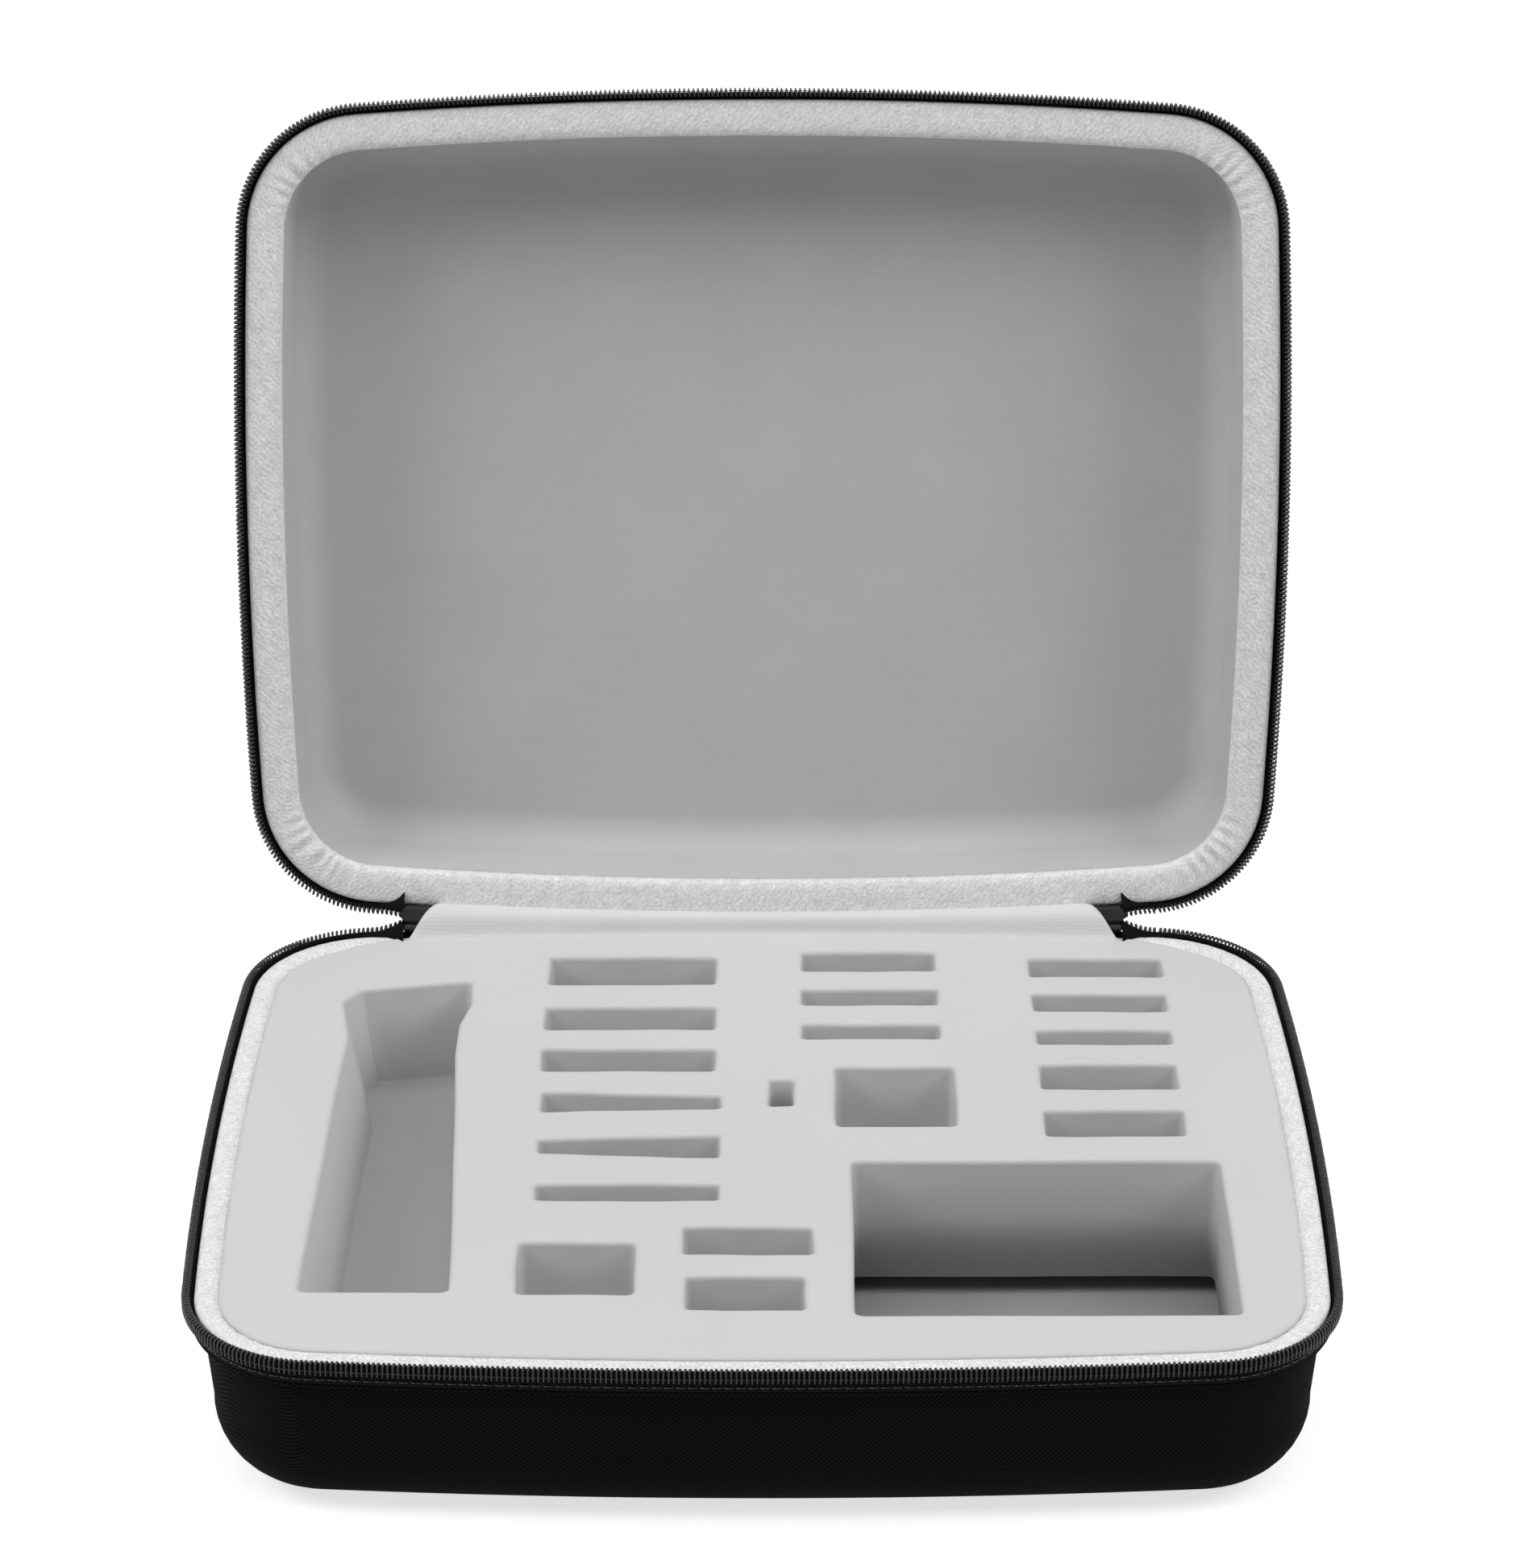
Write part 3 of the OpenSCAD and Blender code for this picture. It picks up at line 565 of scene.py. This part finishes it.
def wire(name, points, radii, sides=5):
    # A tube along points, closed at its ends
    points = np.asarray(points, float)
    tangent = np.gradient(points, axis=0)
    tangent /= np.linalg.norm(tangent, axis=1)[:, None]
    side = np.cross(tangent, [1.0, 0.0, 0.02])
    side /= np.linalg.norm(side, axis=1)[:, None]
    other = np.cross(tangent, side)
    turns = np.arange(sides) * 2 * math.pi / sides
    verts = [p + r * (math.cos(t) * a + math.sin(t) * b)
             for p, r, a, b in zip(points, radii, side, other) for t in turns]
    n, m = len(points), sides
    faces = [(k * m + j, k * m + (j + 1) % m, (k + 1) * m + (j + 1) % m, (k + 1) * m + j)
             for k in range(n - 1) for j in range(m)]
    faces += [tuple(range(m))[::-1], tuple(range((n - 1) * m, n * m))]
    return outwards(meshObject(name, verts, faces))


def makeSpreadTree():
    # Copies one small piece along a path at an even pitch, its X along the path and its Z up
    tree = bpy.data.node_groups.new("spreadAlongPath", "GeometryNodeTree")
    face = tree.interface
    for label, kind in (("Geometry", "Geometry"), ("Piece", "Object"), ("Pitch", "Float"), ("Wobble", "Float"),
                        ("Seed", "Int"), ("Finish", "Material")):
        face.new_socket(name=label, in_out="INPUT", socket_type="NodeSocket" + kind)
    face.new_socket(name="Geometry", in_out="OUTPUT", socket_type="NodeSocketGeometry")
    new = tree.nodes.new
    given, end = new("NodeGroupInput").outputs, new("NodeGroupOutput")
    curve, points, piece = (new("GeometryNodeMeshToCurve"), new("GeometryNodeCurveToPoints"),
                            new("GeometryNodeObjectInfo"))
    points.mode = "LENGTH"
    turn = new("FunctionNodeAlignRotationToVector")
    turn.axis, turn.pivot_axis = "X", "Z"
    shake, extra = new("FunctionNodeRandomValue"), new("FunctionNodeRotateRotation")
    shake.data_type = "FLOAT_VECTOR"
    extra.rotation_space = "LOCAL"
    low, euler = new("ShaderNodeVectorMath"), new("FunctionNodeEulerToRotation")
    low.operation = "SCALE"
    copies, real, finish = (new("GeometryNodeInstanceOnPoints"), new("GeometryNodeRealizeInstances"),
                            new("GeometryNodeSetMaterial"))
    fill(tree, curve, {0: given["Geometry"]})
    fill(tree, points, {0: curve.outputs[0], "Length": given["Pitch"]})
    fill(tree, piece, {"Object": given["Piece"]})
    fill(tree, turn, {"Vector": points.outputs["Tangent"]})
    fill(tree, shake, {0: (-1, -1, -1), 1: (1, 1, 1), "Seed": given["Seed"]})
    fill(tree, low, {0: shake.outputs[0], "Scale": given["Wobble"]})
    fill(tree, euler, {0: low.outputs[0]})
    fill(tree, extra, {0: turn.outputs[0], 1: euler.outputs[0]})
    fill(tree, copies, {"Points": points.outputs["Points"], "Instance": piece.outputs["Geometry"],
                        "Rotation": extra.outputs[0]})
    fill(tree, real, {0: copies.outputs[0]})
    fill(tree, finish, {"Geometry": real.outputs[0], "Material": given["Finish"]})
    fill(tree, end, {0: finish.outputs[0]})
    return tree


spreadTree = makeSpreadTree()


def spread(name, path, piece, pitch, finish, wobble, seed):
    modifier = path.modifiers.new("spread", "NODES")
    modifier.node_group = spreadTree
    values = {"Piece": piece, "Pitch": pitch * mm, "Wobble": wobble, "Seed": seed, "Finish": finishes[finish]}
    for item in spreadTree.interface.items_tree:
        if item.item_type == "SOCKET" and item.in_out == "INPUT" and item.name in values:
            modifier[item.identifier] = values[item.name]
    path.update_tag()
    bpy.context.view_layer.update()
    depsgraph = bpy.context.evaluated_depsgraph_get()
    mesh = bpy.data.meshes.new_from_object(path.evaluated_get(depsgraph), depsgraph=depsgraph)
    path.modifiers.clear()
    bpy.data.objects.remove(path)
    mesh.name = name
    mesh.polygons.foreach_set("use_smooth", [True] * len(mesh.polygons))
    return addObject(name, mesh)


def moved(obj, rule, flip=False):
    # Rule takes and gives points in millimetres
    mesh = obj.data
    co = np.empty(len(mesh.vertices) * 3, np.float32)
    mesh.vertices.foreach_get("co", co)
    points = rule(co.reshape(-1, 3).astype(float) / mm) * mm
    mesh.vertices.foreach_set("co", points.astype(np.float32).ravel())
    if flip:
        mesh.flip_normals()
    mesh.update()
    return obj


def joined(name, first, *others):
    bpy.ops.object.select_all(action="DESELECT")
    for obj in (first, *others):
        obj.select_set(True)
    bpy.context.view_layer.objects.active = first
    bpy.ops.object.join()
    first.name = name
    return first


# One turn of the coil, with its head at the top and its legs on both sides of the core
p = zipper["pitch"]
h, t = zipper["height"] / 2 - zipper["wire"], zipper["thickness"] / 2 - zipper["wire"]
turnPoints = [(-.25 * p, -t, -h + .35), (-.25 * p, -t * 1.05, 0), (-.24 * p, -t, h - .55),
              (-.2 * p, -.55 * t, h - .12), (-.12 * p, 0, h), (-.02 * p, .55 * t, h - .12),
              (.06 * p, t, h - .55), (.15 * p, t, 0), (.25 * p, t, -h + .35), (.45 * p, .6 * t, -h + .05),
              (.7 * p, .1 * t, -h), (.75 * p, -.5 * t, -h + .05), (.75 * p, -t, -h + .35)]
turnRadii = [zipper["wire"] * share for share in (1, 1, 1.1, 1.3, 1.4, 1.3, 1.1, 1, 1, 1, 1, 1, 1)]
coilTurn = wire("coilTurn", turnPoints, turnRadii)
threadPoints = [(-1.15, .12, 0), (-.95, -.06, 0), (-.4, -.16, 0),
                (.4, -.16, 0), (.95, -.06, 0), (1.15, .12, 0)]
threadDash = wire("threadDash", threadPoints, [.1, .16, .18, .18, .16, .1], sides=6)
bindPoints = [(-.75, .1, -.08), (-.4, -.05, -.04), (.4, -.05, .04), (.75, .1, .08)]
bindDash = wire("bindDash", bindPoints, [.1, .15, .15, .1])


def tapeSection(top, low, slant=0.0):
    out, inside = zipper["tapeOut"], zipper["tapeIn"]
    return np.array([(out, top), (inside, top), (inside, low), (out, low + slant)])


for label, shell in shells.items():
    rim = shell["height"]
    tape = band(label + "ZipTape", zipPath, tapeSection(rim - zipper["tapeTop"], rim - zipper["tapeLow"], 0.1),
                shell, closed=False)
    core = band(label + "Core", zipPath, zipper["core"] + [0, rim], shell, closed=False)
    dress(joined(label + "ZipTape", tape, core), "tape", label, [label + "_zip_tape"])
    hemTop, hemLow = rim - zipper["tapeLow"], rim - zipper["hemLow"]
    hemSection = [(inset, hemTop + z) for inset, z in zipper["hem"]]
    hemSection += [(wallAt(shell, hemLow, 0) - .05, hemLow), (wallAt(shell, hemTop, 0) - .05, hemTop - .3)]
    hem = band(label + "Hem", hemPath, np.array(hemSection), shell, closed=False)
    dress(hem, "twill", label, [label + "_welt"])
    coil = spread(label + "ZipCoil", pathObject(at(zipPath, zipper["inset"], rim - zipper["mid"])), coilTurn,
                  zipper["pitch"], "coil", wobble=0.03, seed=5)
    moved(coil, lambda q: placed(q, shell), shell["isLid"])
    dress(coil, "coil", label, [label + "_zip_coil"])
    tapeRow = at(zipPath, zipper["tapeOut"] - .02, rim - zipper["threadZ"])
    rowA = spread("rowA", pathObject(tapeRow), threadDash, zipper["stitch"], "thread", wobble=0.03, seed=8)
    coilRow = at(zipPath, zipper["bindInset"], rim - zipper["bindZ"])
    rowB = spread("rowB", pathObject(coilRow), bindDash, zipper["pitch"], "thread", wobble=0.05, seed=9)
    stitches = joined(label + "Stitching", rowA, rowB)
    moved(stitches, lambda q: placed(q, shell), shell["isLid"])
    dress(stitches, "thread", label)
print("zips made")

# Hinge: a black strip outside from hem to hem, and a smooth grey flap inside from insert to lid binding
# Their lines are ways in from the back and heights over the fold; the strip's line is mirrored for the lid
strip = {"reach": 99.0, "hemReach": 108.0, "thickness": 0.5, "inset": 1.9, "columns": 109,
         "line": [(1.9, -9.0), (0.9, -8.2), (0, -7.4), (0, -5.6), (0, -4.2), (0, -2.2)]}
flap = {"baseReach": 101.0, "lidReach": 90.0, "thickness": 0.45, "mid": 5.1, "soften": 0.1, "columns": 121,
        "base": [(7.0, -3.04), (5.2, -3.03), (4.4, -2.7), (4.4, -1.7)],
        "lid": [(4.6, 1.7), (3.8, 2.3), (3.0, 3.0)]}
sheetSpan = 400.0  # the ripples of a sheet repeat over this width


def backEdge(x):
    # The outline's y at a distance x from the middle plane
    return case["depth"] / 2 - case["longBow"] + math.sqrt(case["longBow"] ** 2 - x * x)


def stripLine(x):
    y = backEdge(x) - strip["inset"]
    half = np.array([(x, y - back, foldZ + up) for back, up in strip["line"]])
    lid = turned(half * [1, 1, -1] + [0, 0, 2 * foldZ], -case["openAngle"])[::-1]
    knee = turned(np.array([[x, y, foldZ]]), -case["openAngle"] / 2)[0]
    bend = [half[-1] * (1 - t) ** 2 + knee * 2 * t * (1 - t) + lid[0] * t * t
            for t in np.linspace(0, 1, 9)[1:-1]]
    return np.vstack([half, bend, lid])


def flapLine(x):
    # From behind the insert, past the zip's ends and under the edge of the lid's binding
    edge = backEdge(x)
    base, lid = [np.array([(x, edge - back, foldZ + up) for back, up in flap[key]]) for key in ("base", "lid")]
    mid = turned(np.array([[x, edge - flap["mid"], foldZ]]), -case["openAngle"] / 2)
    nodes = np.vstack([base, mid, turned(lid, -case["openAngle"])])
    where = runAlong(nodes)
    even = np.linspace(0, where[-1], 17)
    line = np.column_stack([np.interp(even, where, nodes[:, k]) for k in range(3)])
    for again in range(6):
        line[1:-1] = (line[:-2] + 2 * line[1:-1] + line[2:]) / 4
    return line


def cloth(name, shape, reach, columns, thickness, soften=0.0):
    # A sheet whose half-width along x changes from edge to edge: reach gives it at a share of the way across
    shares = np.linspace(0, 1, len(shape(0.0)))
    grid = np.array([[shape(side * reach(share))[k] for k, share in enumerate(shares)]
                     for side in np.linspace(-1, 1, columns)])
    n, m = grid.shape[:2]
    if soften:
        s = grid[:, m // 2, 0] + sheetSpan / 2
        bumps = waves(s, sheetSpan, 23, 5) * 0.6 + waves(s, sheetSpan, 57, 6) * 0.4
        grid[:, :, 2] += bumps[:, None] * soften * np.sin(np.linspace(0, math.pi, m))
    run = runAlong(grid[n // 2])
    faces = [(i * m + j, (i + 1) * m + j, (i + 1) * m + j + 1, i * m + j + 1)
             for i in range(n - 1) for j in range(m - 1)]
    uvs = [(grid[k // m, k % m, 0], run[k % m]) for f in faces for k in f]
    obj = meshObject(name, grid.reshape(-1, 3), faces, uvs)
    wall = obj.modifiers.new("wall", "SOLIDIFY")
    wall.thickness, wall.offset = thickness * mm, 0.0
    area = sum(p.area for p in obj.data.polygons)
    return obj, (2 * max(reach(0), reach(1)) * mm, run[-1] * mm), area


def stripReach(share):
    # Widest at both hems
    return strip["reach"] + (strip["hemReach"] - strip["reach"]) * abs(2 * share - 1) ** 1.5


def flapReach(share):
    return flap["baseReach"] + (flap["lidReach"] - flap["baseReach"]) * share


hinge, cutSize, area = cloth("hingeCloth", stripLine, stripReach, strip["columns"], strip["thickness"])
dress(hinge, "tape", nodes=["hinge_fabric_base", "hinge_fabric_lid"])
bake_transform(hinge)
cover, cutSize, area = cloth("hingeFlap", flapLine, flapReach, flap["columns"], flap["thickness"],
                             flap["soften"])
dress(cover, "flap")
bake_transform(cover)
print("hinge cloth made")

# Ends of the zip: each coil leaves its rim and twists into the joined chain at the back
tail = {"from": tangentX, "mouth": 101.0, "to": 92.0, "tapeFrom": 3.0, "spineTo": 0.5, "tapeTop": 1.2}


def backPath(x1, x2, inset, z, count=24):
    xs = np.linspace(x1, x2, count)
    r = case["longBow"] - inset
    share = xs / case["longBow"]
    y = case["depth"] / 2 - case["longBow"] + r * np.sqrt(1 - share ** 2)
    return np.column_stack([r * share, y, np.zeros(count) + z])


def twist(x, isLid):
    # Share of the lid's turn at x: none or all of it at the rim, half at the chain's mouth
    t = np.clip((tail["from"] - x) / (2 * (tail["from"] - tail["mouth"])), 0, 0.5)
    w = t * t * (3 - 2 * t)
    return 1 - w if isLid else w


def strand(side, x1, x2, section):
    # A closed section carried along the back between two distances from the middle
    grid = np.stack([backPath(x1, x2, u, foldZ + z) * [side, 1, 1] for u, z in section], 1)
    n, m = grid.shape[:2]
    faces = [(i * m + j, (i + 1) * m + j, (i + 1) * m + (j + 1) % m, i * m + (j + 1) % m)
             for i in range(n - 1) for j in range(m)]
    faces += [tuple(range(m)), tuple(range((n - 1) * m, n * m))]
    uvs = [(grid[k // m, k % m, 0], grid[k // m, k % m, 2]) for f in faces for k in f]
    return outwards(meshObject("strand", grid.reshape(-1, 3), faces, uvs))


def backCoil(name, side, x1, x2, wobble, seed):
    points = backPath(side * x1, side * x2, zipper["inset"], foldZ - zipper["mid"])
    return spread(name, pathObject(points[::side]), coilTurn, zipper["pitch"], "coil", wobble, seed)


def mirrored(q):
    return q * [1, 1, -1] + [0, 0, 2 * foldZ]


def tailPlace(q, isLid):
    # From the straight back of the base to where the tail stands, turned by its share of the lid's angle
    q = mirrored(q) if isLid else q
    return turned(q, -case["openAngle"] * twist(np.abs(q[:, 0]), isLid))


tapeTail = tapeSection(-tail["tapeTop"], -zipper["tapeLow"])
for side, name in ((-1, "left"), (1, "right")):
    for label, shell in shells.items():
        isLid = shell["isLid"]
        run = backCoil(label + "CoilTail_" + name, side, tail["from"], tail["mouth"], wobble=0.03, seed=6)
        web = joined(label + "TapeTail_" + name,
                     *[strand(side, tail["from"] + tail["tapeFrom"], tail["mouth"], section)
                       for section in (tapeTail, zipper["core"])])
        for piece, finish, slot in ((run, "coil", "zip_coil"), (web, "tape", "zip_tape")):
            dress(moved(piece, lambda q: tailPlace(q, isLid), isLid), finish)
            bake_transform(piece)
    low = backCoil("chain_" + name, side, tail["mouth"], tail["to"], wobble=0.02, seed=7)
    high = addObject("chain", low.data.copy())
    moved(high, lambda q: mirrored(q) + [side * zipper["pitch"] / 2, 0, 0], True)
    spines = [strand(side, tail["mouth"], tail["to"] + tail["spineTo"], zipper["core"]) for k in range(2)]
    moved(spines[1], mirrored, True)
    chain = joined("joinedChain_" + name, low, high, *spines)
    moved(chain, lambda q: turned(q, -case["openAngle"] / 2))
    dress(chain, "coil", "zip_ends", ["zip_end_" + name])
for obj in (coilTurn, threadDash, bindDash):
    bpy.data.objects.remove(obj)
print("zip ends made")

# Foam insert: one block with its cut-outs, rounded a little at every cut edge
insert = {"top": 48.2, "thickness": 35.0, "inset": 12.37, "lip": 8.8, "backLip": 3.5, "backFrom": 97.0,
          "backTo": 126.0, "lipLow": 47.0, "edge": 1.5, "cutRadius": 1.3, "wobble": 0.16, "gap": 0.3,
          "floorEdge": [(0, 1.2), (-0.35, 0.35), (-1.2, 0)],
          "slotDepth": 27.0, "clipperDepth": 30.0, "frontDepth": 22.0, "squareDepth": 25.0, "smallDepth": 20.0}
# The clipper's pocket: its body narrows to a waist under a wider, slanted head; the left wall leans outwards
clipper = {"right": [(-77.6, -78.5), (-79.4, -30.0), (-81.0, 8.5), (-82.6, 44.0), (-82.3, 60.0), (-79.8, 71.5),
                     (-80.4, 85.0)],
           "left": [(-110.4, 79.5), (-114.9, 73.0), (-112.0, 53.0), (-113.2, 8.5), (-114.1, -28.0),
                    (-115.0, -78.5)],
           "radius": 2.4, "lean": 5.5}


def bentCut(x, y, w, left, right, depth, radius=insert["cutRadius"]):
    # Four corners, with its own length at the left and at the right; no depth means right through
    return {"corners": [(x - w / 2, y - left / 2), (x + w / 2, y - right / 2), (x + w / 2, y + right / 2),
                        (x - w / 2, y + left / 2)], "depth": depth, "radius": radius}


def boxCut(x, y, w, l, depth, radius=insert["cutRadius"]):
    return bentCut(x, y, w, l, l, depth, radius)


slot, front = insert["slotDepth"], insert["frontDepth"]
cuts = [boxCut(-36, y, 46, l, slot) for y, l in ((91, 16), (63.4, 12.6), (39.9, 12))]
cuts += [bentCut(-34.7, y, 47, a, b, slot) for y, a, b in ((17, 10.4, 6.6), (-6.5, 7, 11.5), (-30, 8, 8))]
cuts += [boxCut(29.3, y, 37, l, slot) for y, l in ((96.5, 11), (75.6, 9), (55.9, 8))]
cuts += [boxCut(92.3, y, 36.5, l, slot)
         for y, l in ((92.9, 10.5), (72.3, 9.7), (52.7, 7.8), (30.7, 13.2), (5.7, 13.4))]
cuts += [boxCut(5, 22, 6.4, 14, insert["smallDepth"]), boxCut(35.2, 20, 31.5, 32, insert["squareDepth"], 2.0)]
cuts += [boxCut(-46.5, -67.2, 29, 24.6, front, 2.0), boxCut(-3.6, -53.9, 32.5, 13, front),
         boxCut(-4.2, -79, 29.5, 15.3, front)]
cuts += [{**clipper, "corners": clipper["right"] + clipper["left"], "depth": insert["clipperDepth"]},
         boxCut(70.5, -51.7, 95, 75, None, 2.5)]


def roundedLoop(corners, radius, spacing=4.0):
    # Corners rounded and long edges divided, with each point's phase of the way round
    points = []
    c = np.array(corners, float)
    for k, b in enumerate(c):
        a, d = c[k - 1], c[(k + 1) % len(c)]
        sideA, sideD = np.linalg.norm(a - b), np.linalg.norm(d - b)
        u, v = (a - b) / sideA, (d - b) / sideD
        half = math.acos(max(-1, min(1, float(u @ v)))) / 2
        if half > math.radians(80):
            points.append(b)
            continue
        reach = min(radius / math.tan(half), 0.45 * min(sideA, sideD))
        for t in np.linspace(0, 1, 6):
            points.append((b + u * reach) * (1 - t) ** 2 + b * 2 * t * (1 - t) + (b + v * reach) * t * t)
    out = []
    for a, b in zip(points, points[1:] + points[:1]):
        pieces = max(1, int(np.linalg.norm(b - a) / spacing))
        out += [a + (b - a) * j / pieces for j in range(pieces)]
    run = runAlong(np.array(out + out[:1]))
    return np.array(out), run[:-1] / run[-1] * 2 * math.pi


def loopNormals(loop):
    # Pointing out of a counter-clockwise loop
    normal = np.zeros_like(loop)
    for edge in (loop - np.roll(loop, 1, 0), np.roll(loop, -1, 0) - loop):
        normal += np.column_stack([edge[:, 1], -edge[:, 0]]) / np.linalg.norm(edge, axis=1)[:, None]
    return normal / np.linalg.norm(normal, axis=1)[:, None]


def insertSide(low):
    # Inset and height down the block's side: a lip over the binding, then the wall and the shell's own curve
    bend, lined = baseShell["fillet"], liner["depth"] + liner["thickness"]
    curve = math.sqrt((bend - lined - insert["gap"]) ** 2 - (bend - low) ** 2)
    foot = wallAt(baseShell, bend, bend) - curve + 0.2
    knee = max(wallAt(baseShell, bend, lined) + 0.4, foot - 0.8)
    border = outline(4.0, 16)
    x, y, z = at(border, 0, 0).T
    away = np.clip((np.abs(x) - insert["backFrom"]) / (insert["backTo"] - insert["backFrom"]), 0, 1)
    away = np.where(y > 0, away * away * (3 - 2 * away), 1)
    lip = insert["backLip"] + (insert["lip"] - insert["backLip"]) * away
    under, top = insert["lipLow"], insert["top"]
    sides = [(lip + 1.3, top), (lip + 0.7, top - 0.07), (lip + 0.2, top - 0.35), (lip, top - 0.75),
             (lip + 0.15, under), (lip + 1.2, under - 0.02), (insert["inset"], under - 0.1),
             (insert["inset"] + 0.1, under - 1), (knee, bend), (foot, low)]
    return [(at(border, u, z)[:, :2], z) for u, z in sides]


def makeInsert():
    bm = bmesh.new()
    top, low, edge = insert["top"], insert["top"] - insert["thickness"], insert["edge"]

    def ring(points, z):
        return [bm.verts.new((x * mm, y * mm, z * mm)) for x, y in points]

    def skirts(rings):
        for upper, lower in zip(rings, rings[1:]):
            n = len(upper)
            for k in range(n):
                bm.faces.new((upper[k], lower[k], lower[(k + 1) % n], upper[(k + 1) % n]))

    def loopEdges(verts):
        return [bm.edges.get((verts[k], verts[(k + 1) % len(verts)])) for k in range(len(verts))]

    rings = [ring(points, z) for points, z in insertSide(low)]
    skirts(rings)
    topLoops, lowLoops, floors = loopEdges(rings[0]), loopEdges(rings[-1]), []
    for index, cut in enumerate(cuts):
        loop, phase = roundedLoop(cut["corners"], cut["radius"])
        wander = (np.sin(2 * phase + index) + 0.6 * np.sin(5 * phase + 2.3 * index)) * insert["wobble"]
        normal = loopNormals(loop)
        loop = loop + normal * wander[:, None]
        isThrough = cut["depth"] is None
        bottom = low if isThrough else top - cut["depth"]
        steps = [(edge, top), (edge * 0.4, top - edge * 0.12), (edge * 0.1, top - edge * 0.45),
                 (0, top - edge), (0, (top + bottom) / 2)]
        steps += [(out, bottom + up) for out, up in ([(0, 0)] if isThrough else insert["floorEdge"])]
        lean = np.column_stack([np.clip(-normal[:, 0], 0, 1) * cut.get("lean", 0.0), np.zeros(len(loop))])
        holes = [ring(loop + normal * out + lean * max(0.0, (top - z) / (top - bottom)), z)
                 for out, z in steps]
        skirts(holes)
        topLoops += loopEdges(holes[0])
        if isThrough:
            lowLoops += loopEdges(holes[-1])
        else:
            floors.append(loopEdges(holes[-1]))
    flat = set()
    for loops in [topLoops, lowLoops] + floors:
        made = bmesh.ops.triangle_fill(bm, use_beauty=True, use_dissolve=False, edges=loops)
        flat.update(f for f in made["geom"] if isinstance(f, bmesh.types.BMFace))
    for f in bm.faces:
        f.smooth = f not in flat
    bmesh.ops.recalc_face_normals(bm, faces=bm.faces)
    mesh = bpy.data.meshes.new("foamInsert")
    bm.to_mesh(mesh)
    bm.free()
    return outwards(addObject("foamInsert", mesh))


foam = makeInsert()
dress(foam, "foam", "base",
      ["foam_clipper_bay", "foam_left_guard_bay", "foam_middle_guard_bay", "foam_right_guard_bay",
       "foam_accessory_bay", "foam_adapter_bay"])
print("foam insert made:", len(foam.data.polygons), "faces")

# Finishes of the solids that stay as they are
kept = {"base_eva_shell": "wall", "lid_eva_shell": "wall", "zip_stop_left": "metal", "zip_stop_right": "metal",
        "slider_left": "metal", "slider_right": "metal", "pull_left": "rubber", "pull_right": "rubber"}
for node, finish in kept.items():
    setFinish(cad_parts[node], finish)

# Stage: pale floor, soft light from above, both sides and behind, the photograph's view
stage = {"world": 0.16, "floor": 0.6, "floorGlow": 0.7, "floorHalf": 6000.0, "camera": (1.3, -1138.8, 698.1),
         "elevation": 25.73, "lens": 115.07, "sensor": 36.0}
lamps = {"overhead": {"place": (0.0, -0.2, 2.0), "target": (0, 0, 0.08), "size": 2.4, "power": 17.5},
         "left": {"place": (-1.5, -0.42, 1.45), "target": (0, 0, 0.1), "size": 1.1, "power": 17.0},
         "right": {"place": (1.5, -0.42, 1.45), "target": (0, 0, 0.1), "size": 1.1, "power": 16.0},
         "behind": {"place": (0.0, 1.8, 1.2), "target": (0, 0.15, 0.1), "size": 1.4, "power": 5.0}}


def pickSeen(tree, plain, seen, output):
    # The seen shader is for rays that show the background: straight to the camera, mirrored or through glass
    rays = tree.nodes.new("ShaderNodeLightPath").outputs
    gloss = calc(tree, "MAXIMUM", rays["Is Glossy Ray"], rays["Is Transmission Ray"])
    pick = addNode(tree, "ShaderNodeMixShader", {0: calc(tree, "MAXIMUM", rays["Is Camera Ray"], gloss),
                                                 1: plain, 2: seen})
    fill(tree, tree.nodes[output], {"Surface": pick.outputs[0]})


world = bpy.data.worlds.new("softRoom")
bpy.context.scene.world = world
world.use_nodes = True
tree = world.node_tree
glow = fill(tree, tree.nodes["Background"], {"Color": grey(1.0), "Strength": stage["world"]})
white = addNode(tree, "ShaderNodeBackground", {"Color": grey(1.0), "Strength": 1.0})
pickSeen(tree, glow.outputs[0], white.outputs[0], "World Output")

for name, lamp in lamps.items():
    data = bpy.data.lights.new(name, "AREA")
    data.shape, data.size, data.energy = "DISK", lamp["size"], lamp["power"]
    obj = addObject(name, data)
    obj.location = lamp["place"]
    aim = Vector(lamp["target"]) - Vector(lamp["place"])
    obj.rotation_euler = aim.to_track_quat("-Z", "Y").to_euler()

floorMaterial, tree, shader = startMaterial("paleFloor", 0.95, 0.1)
fill(tree, shader, {"Base Color": grey(stage["floor"])})
lit = addNode(tree, "ShaderNodeEmission", {"Strength": stage["floorGlow"]})
bright = addNode(tree, "ShaderNodeAddShader", {0: shader.outputs[0], 1: lit.outputs[0]})
pickSeen(tree, shader.outputs[0], bright.outputs[0], "Material Output")
half = stage["floorHalf"]
floor = meshObject("floor", [(-half, -half, 0), (half, -half, 0), (half, half, 0), (-half, half, 0)],
                   [(0, 1, 2, 3)], smooth=False)
floor.data.materials.append(floorMaterial)

camData = bpy.data.cameras.new("view")
camData.sensor_fit, camData.sensor_height, camData.lens = "VERTICAL", stage["sensor"], stage["lens"]
camData.clip_end = 50.0
view = addObject("view", camData)
view.location = [v * mm for v in stage["camera"]]
view.rotation_euler = (math.radians(90 - stage["elevation"]), 0, 0)
bpy.context.scene.camera = view
bpy.context.scene.view_settings.view_transform = "Standard"
print("stage set")
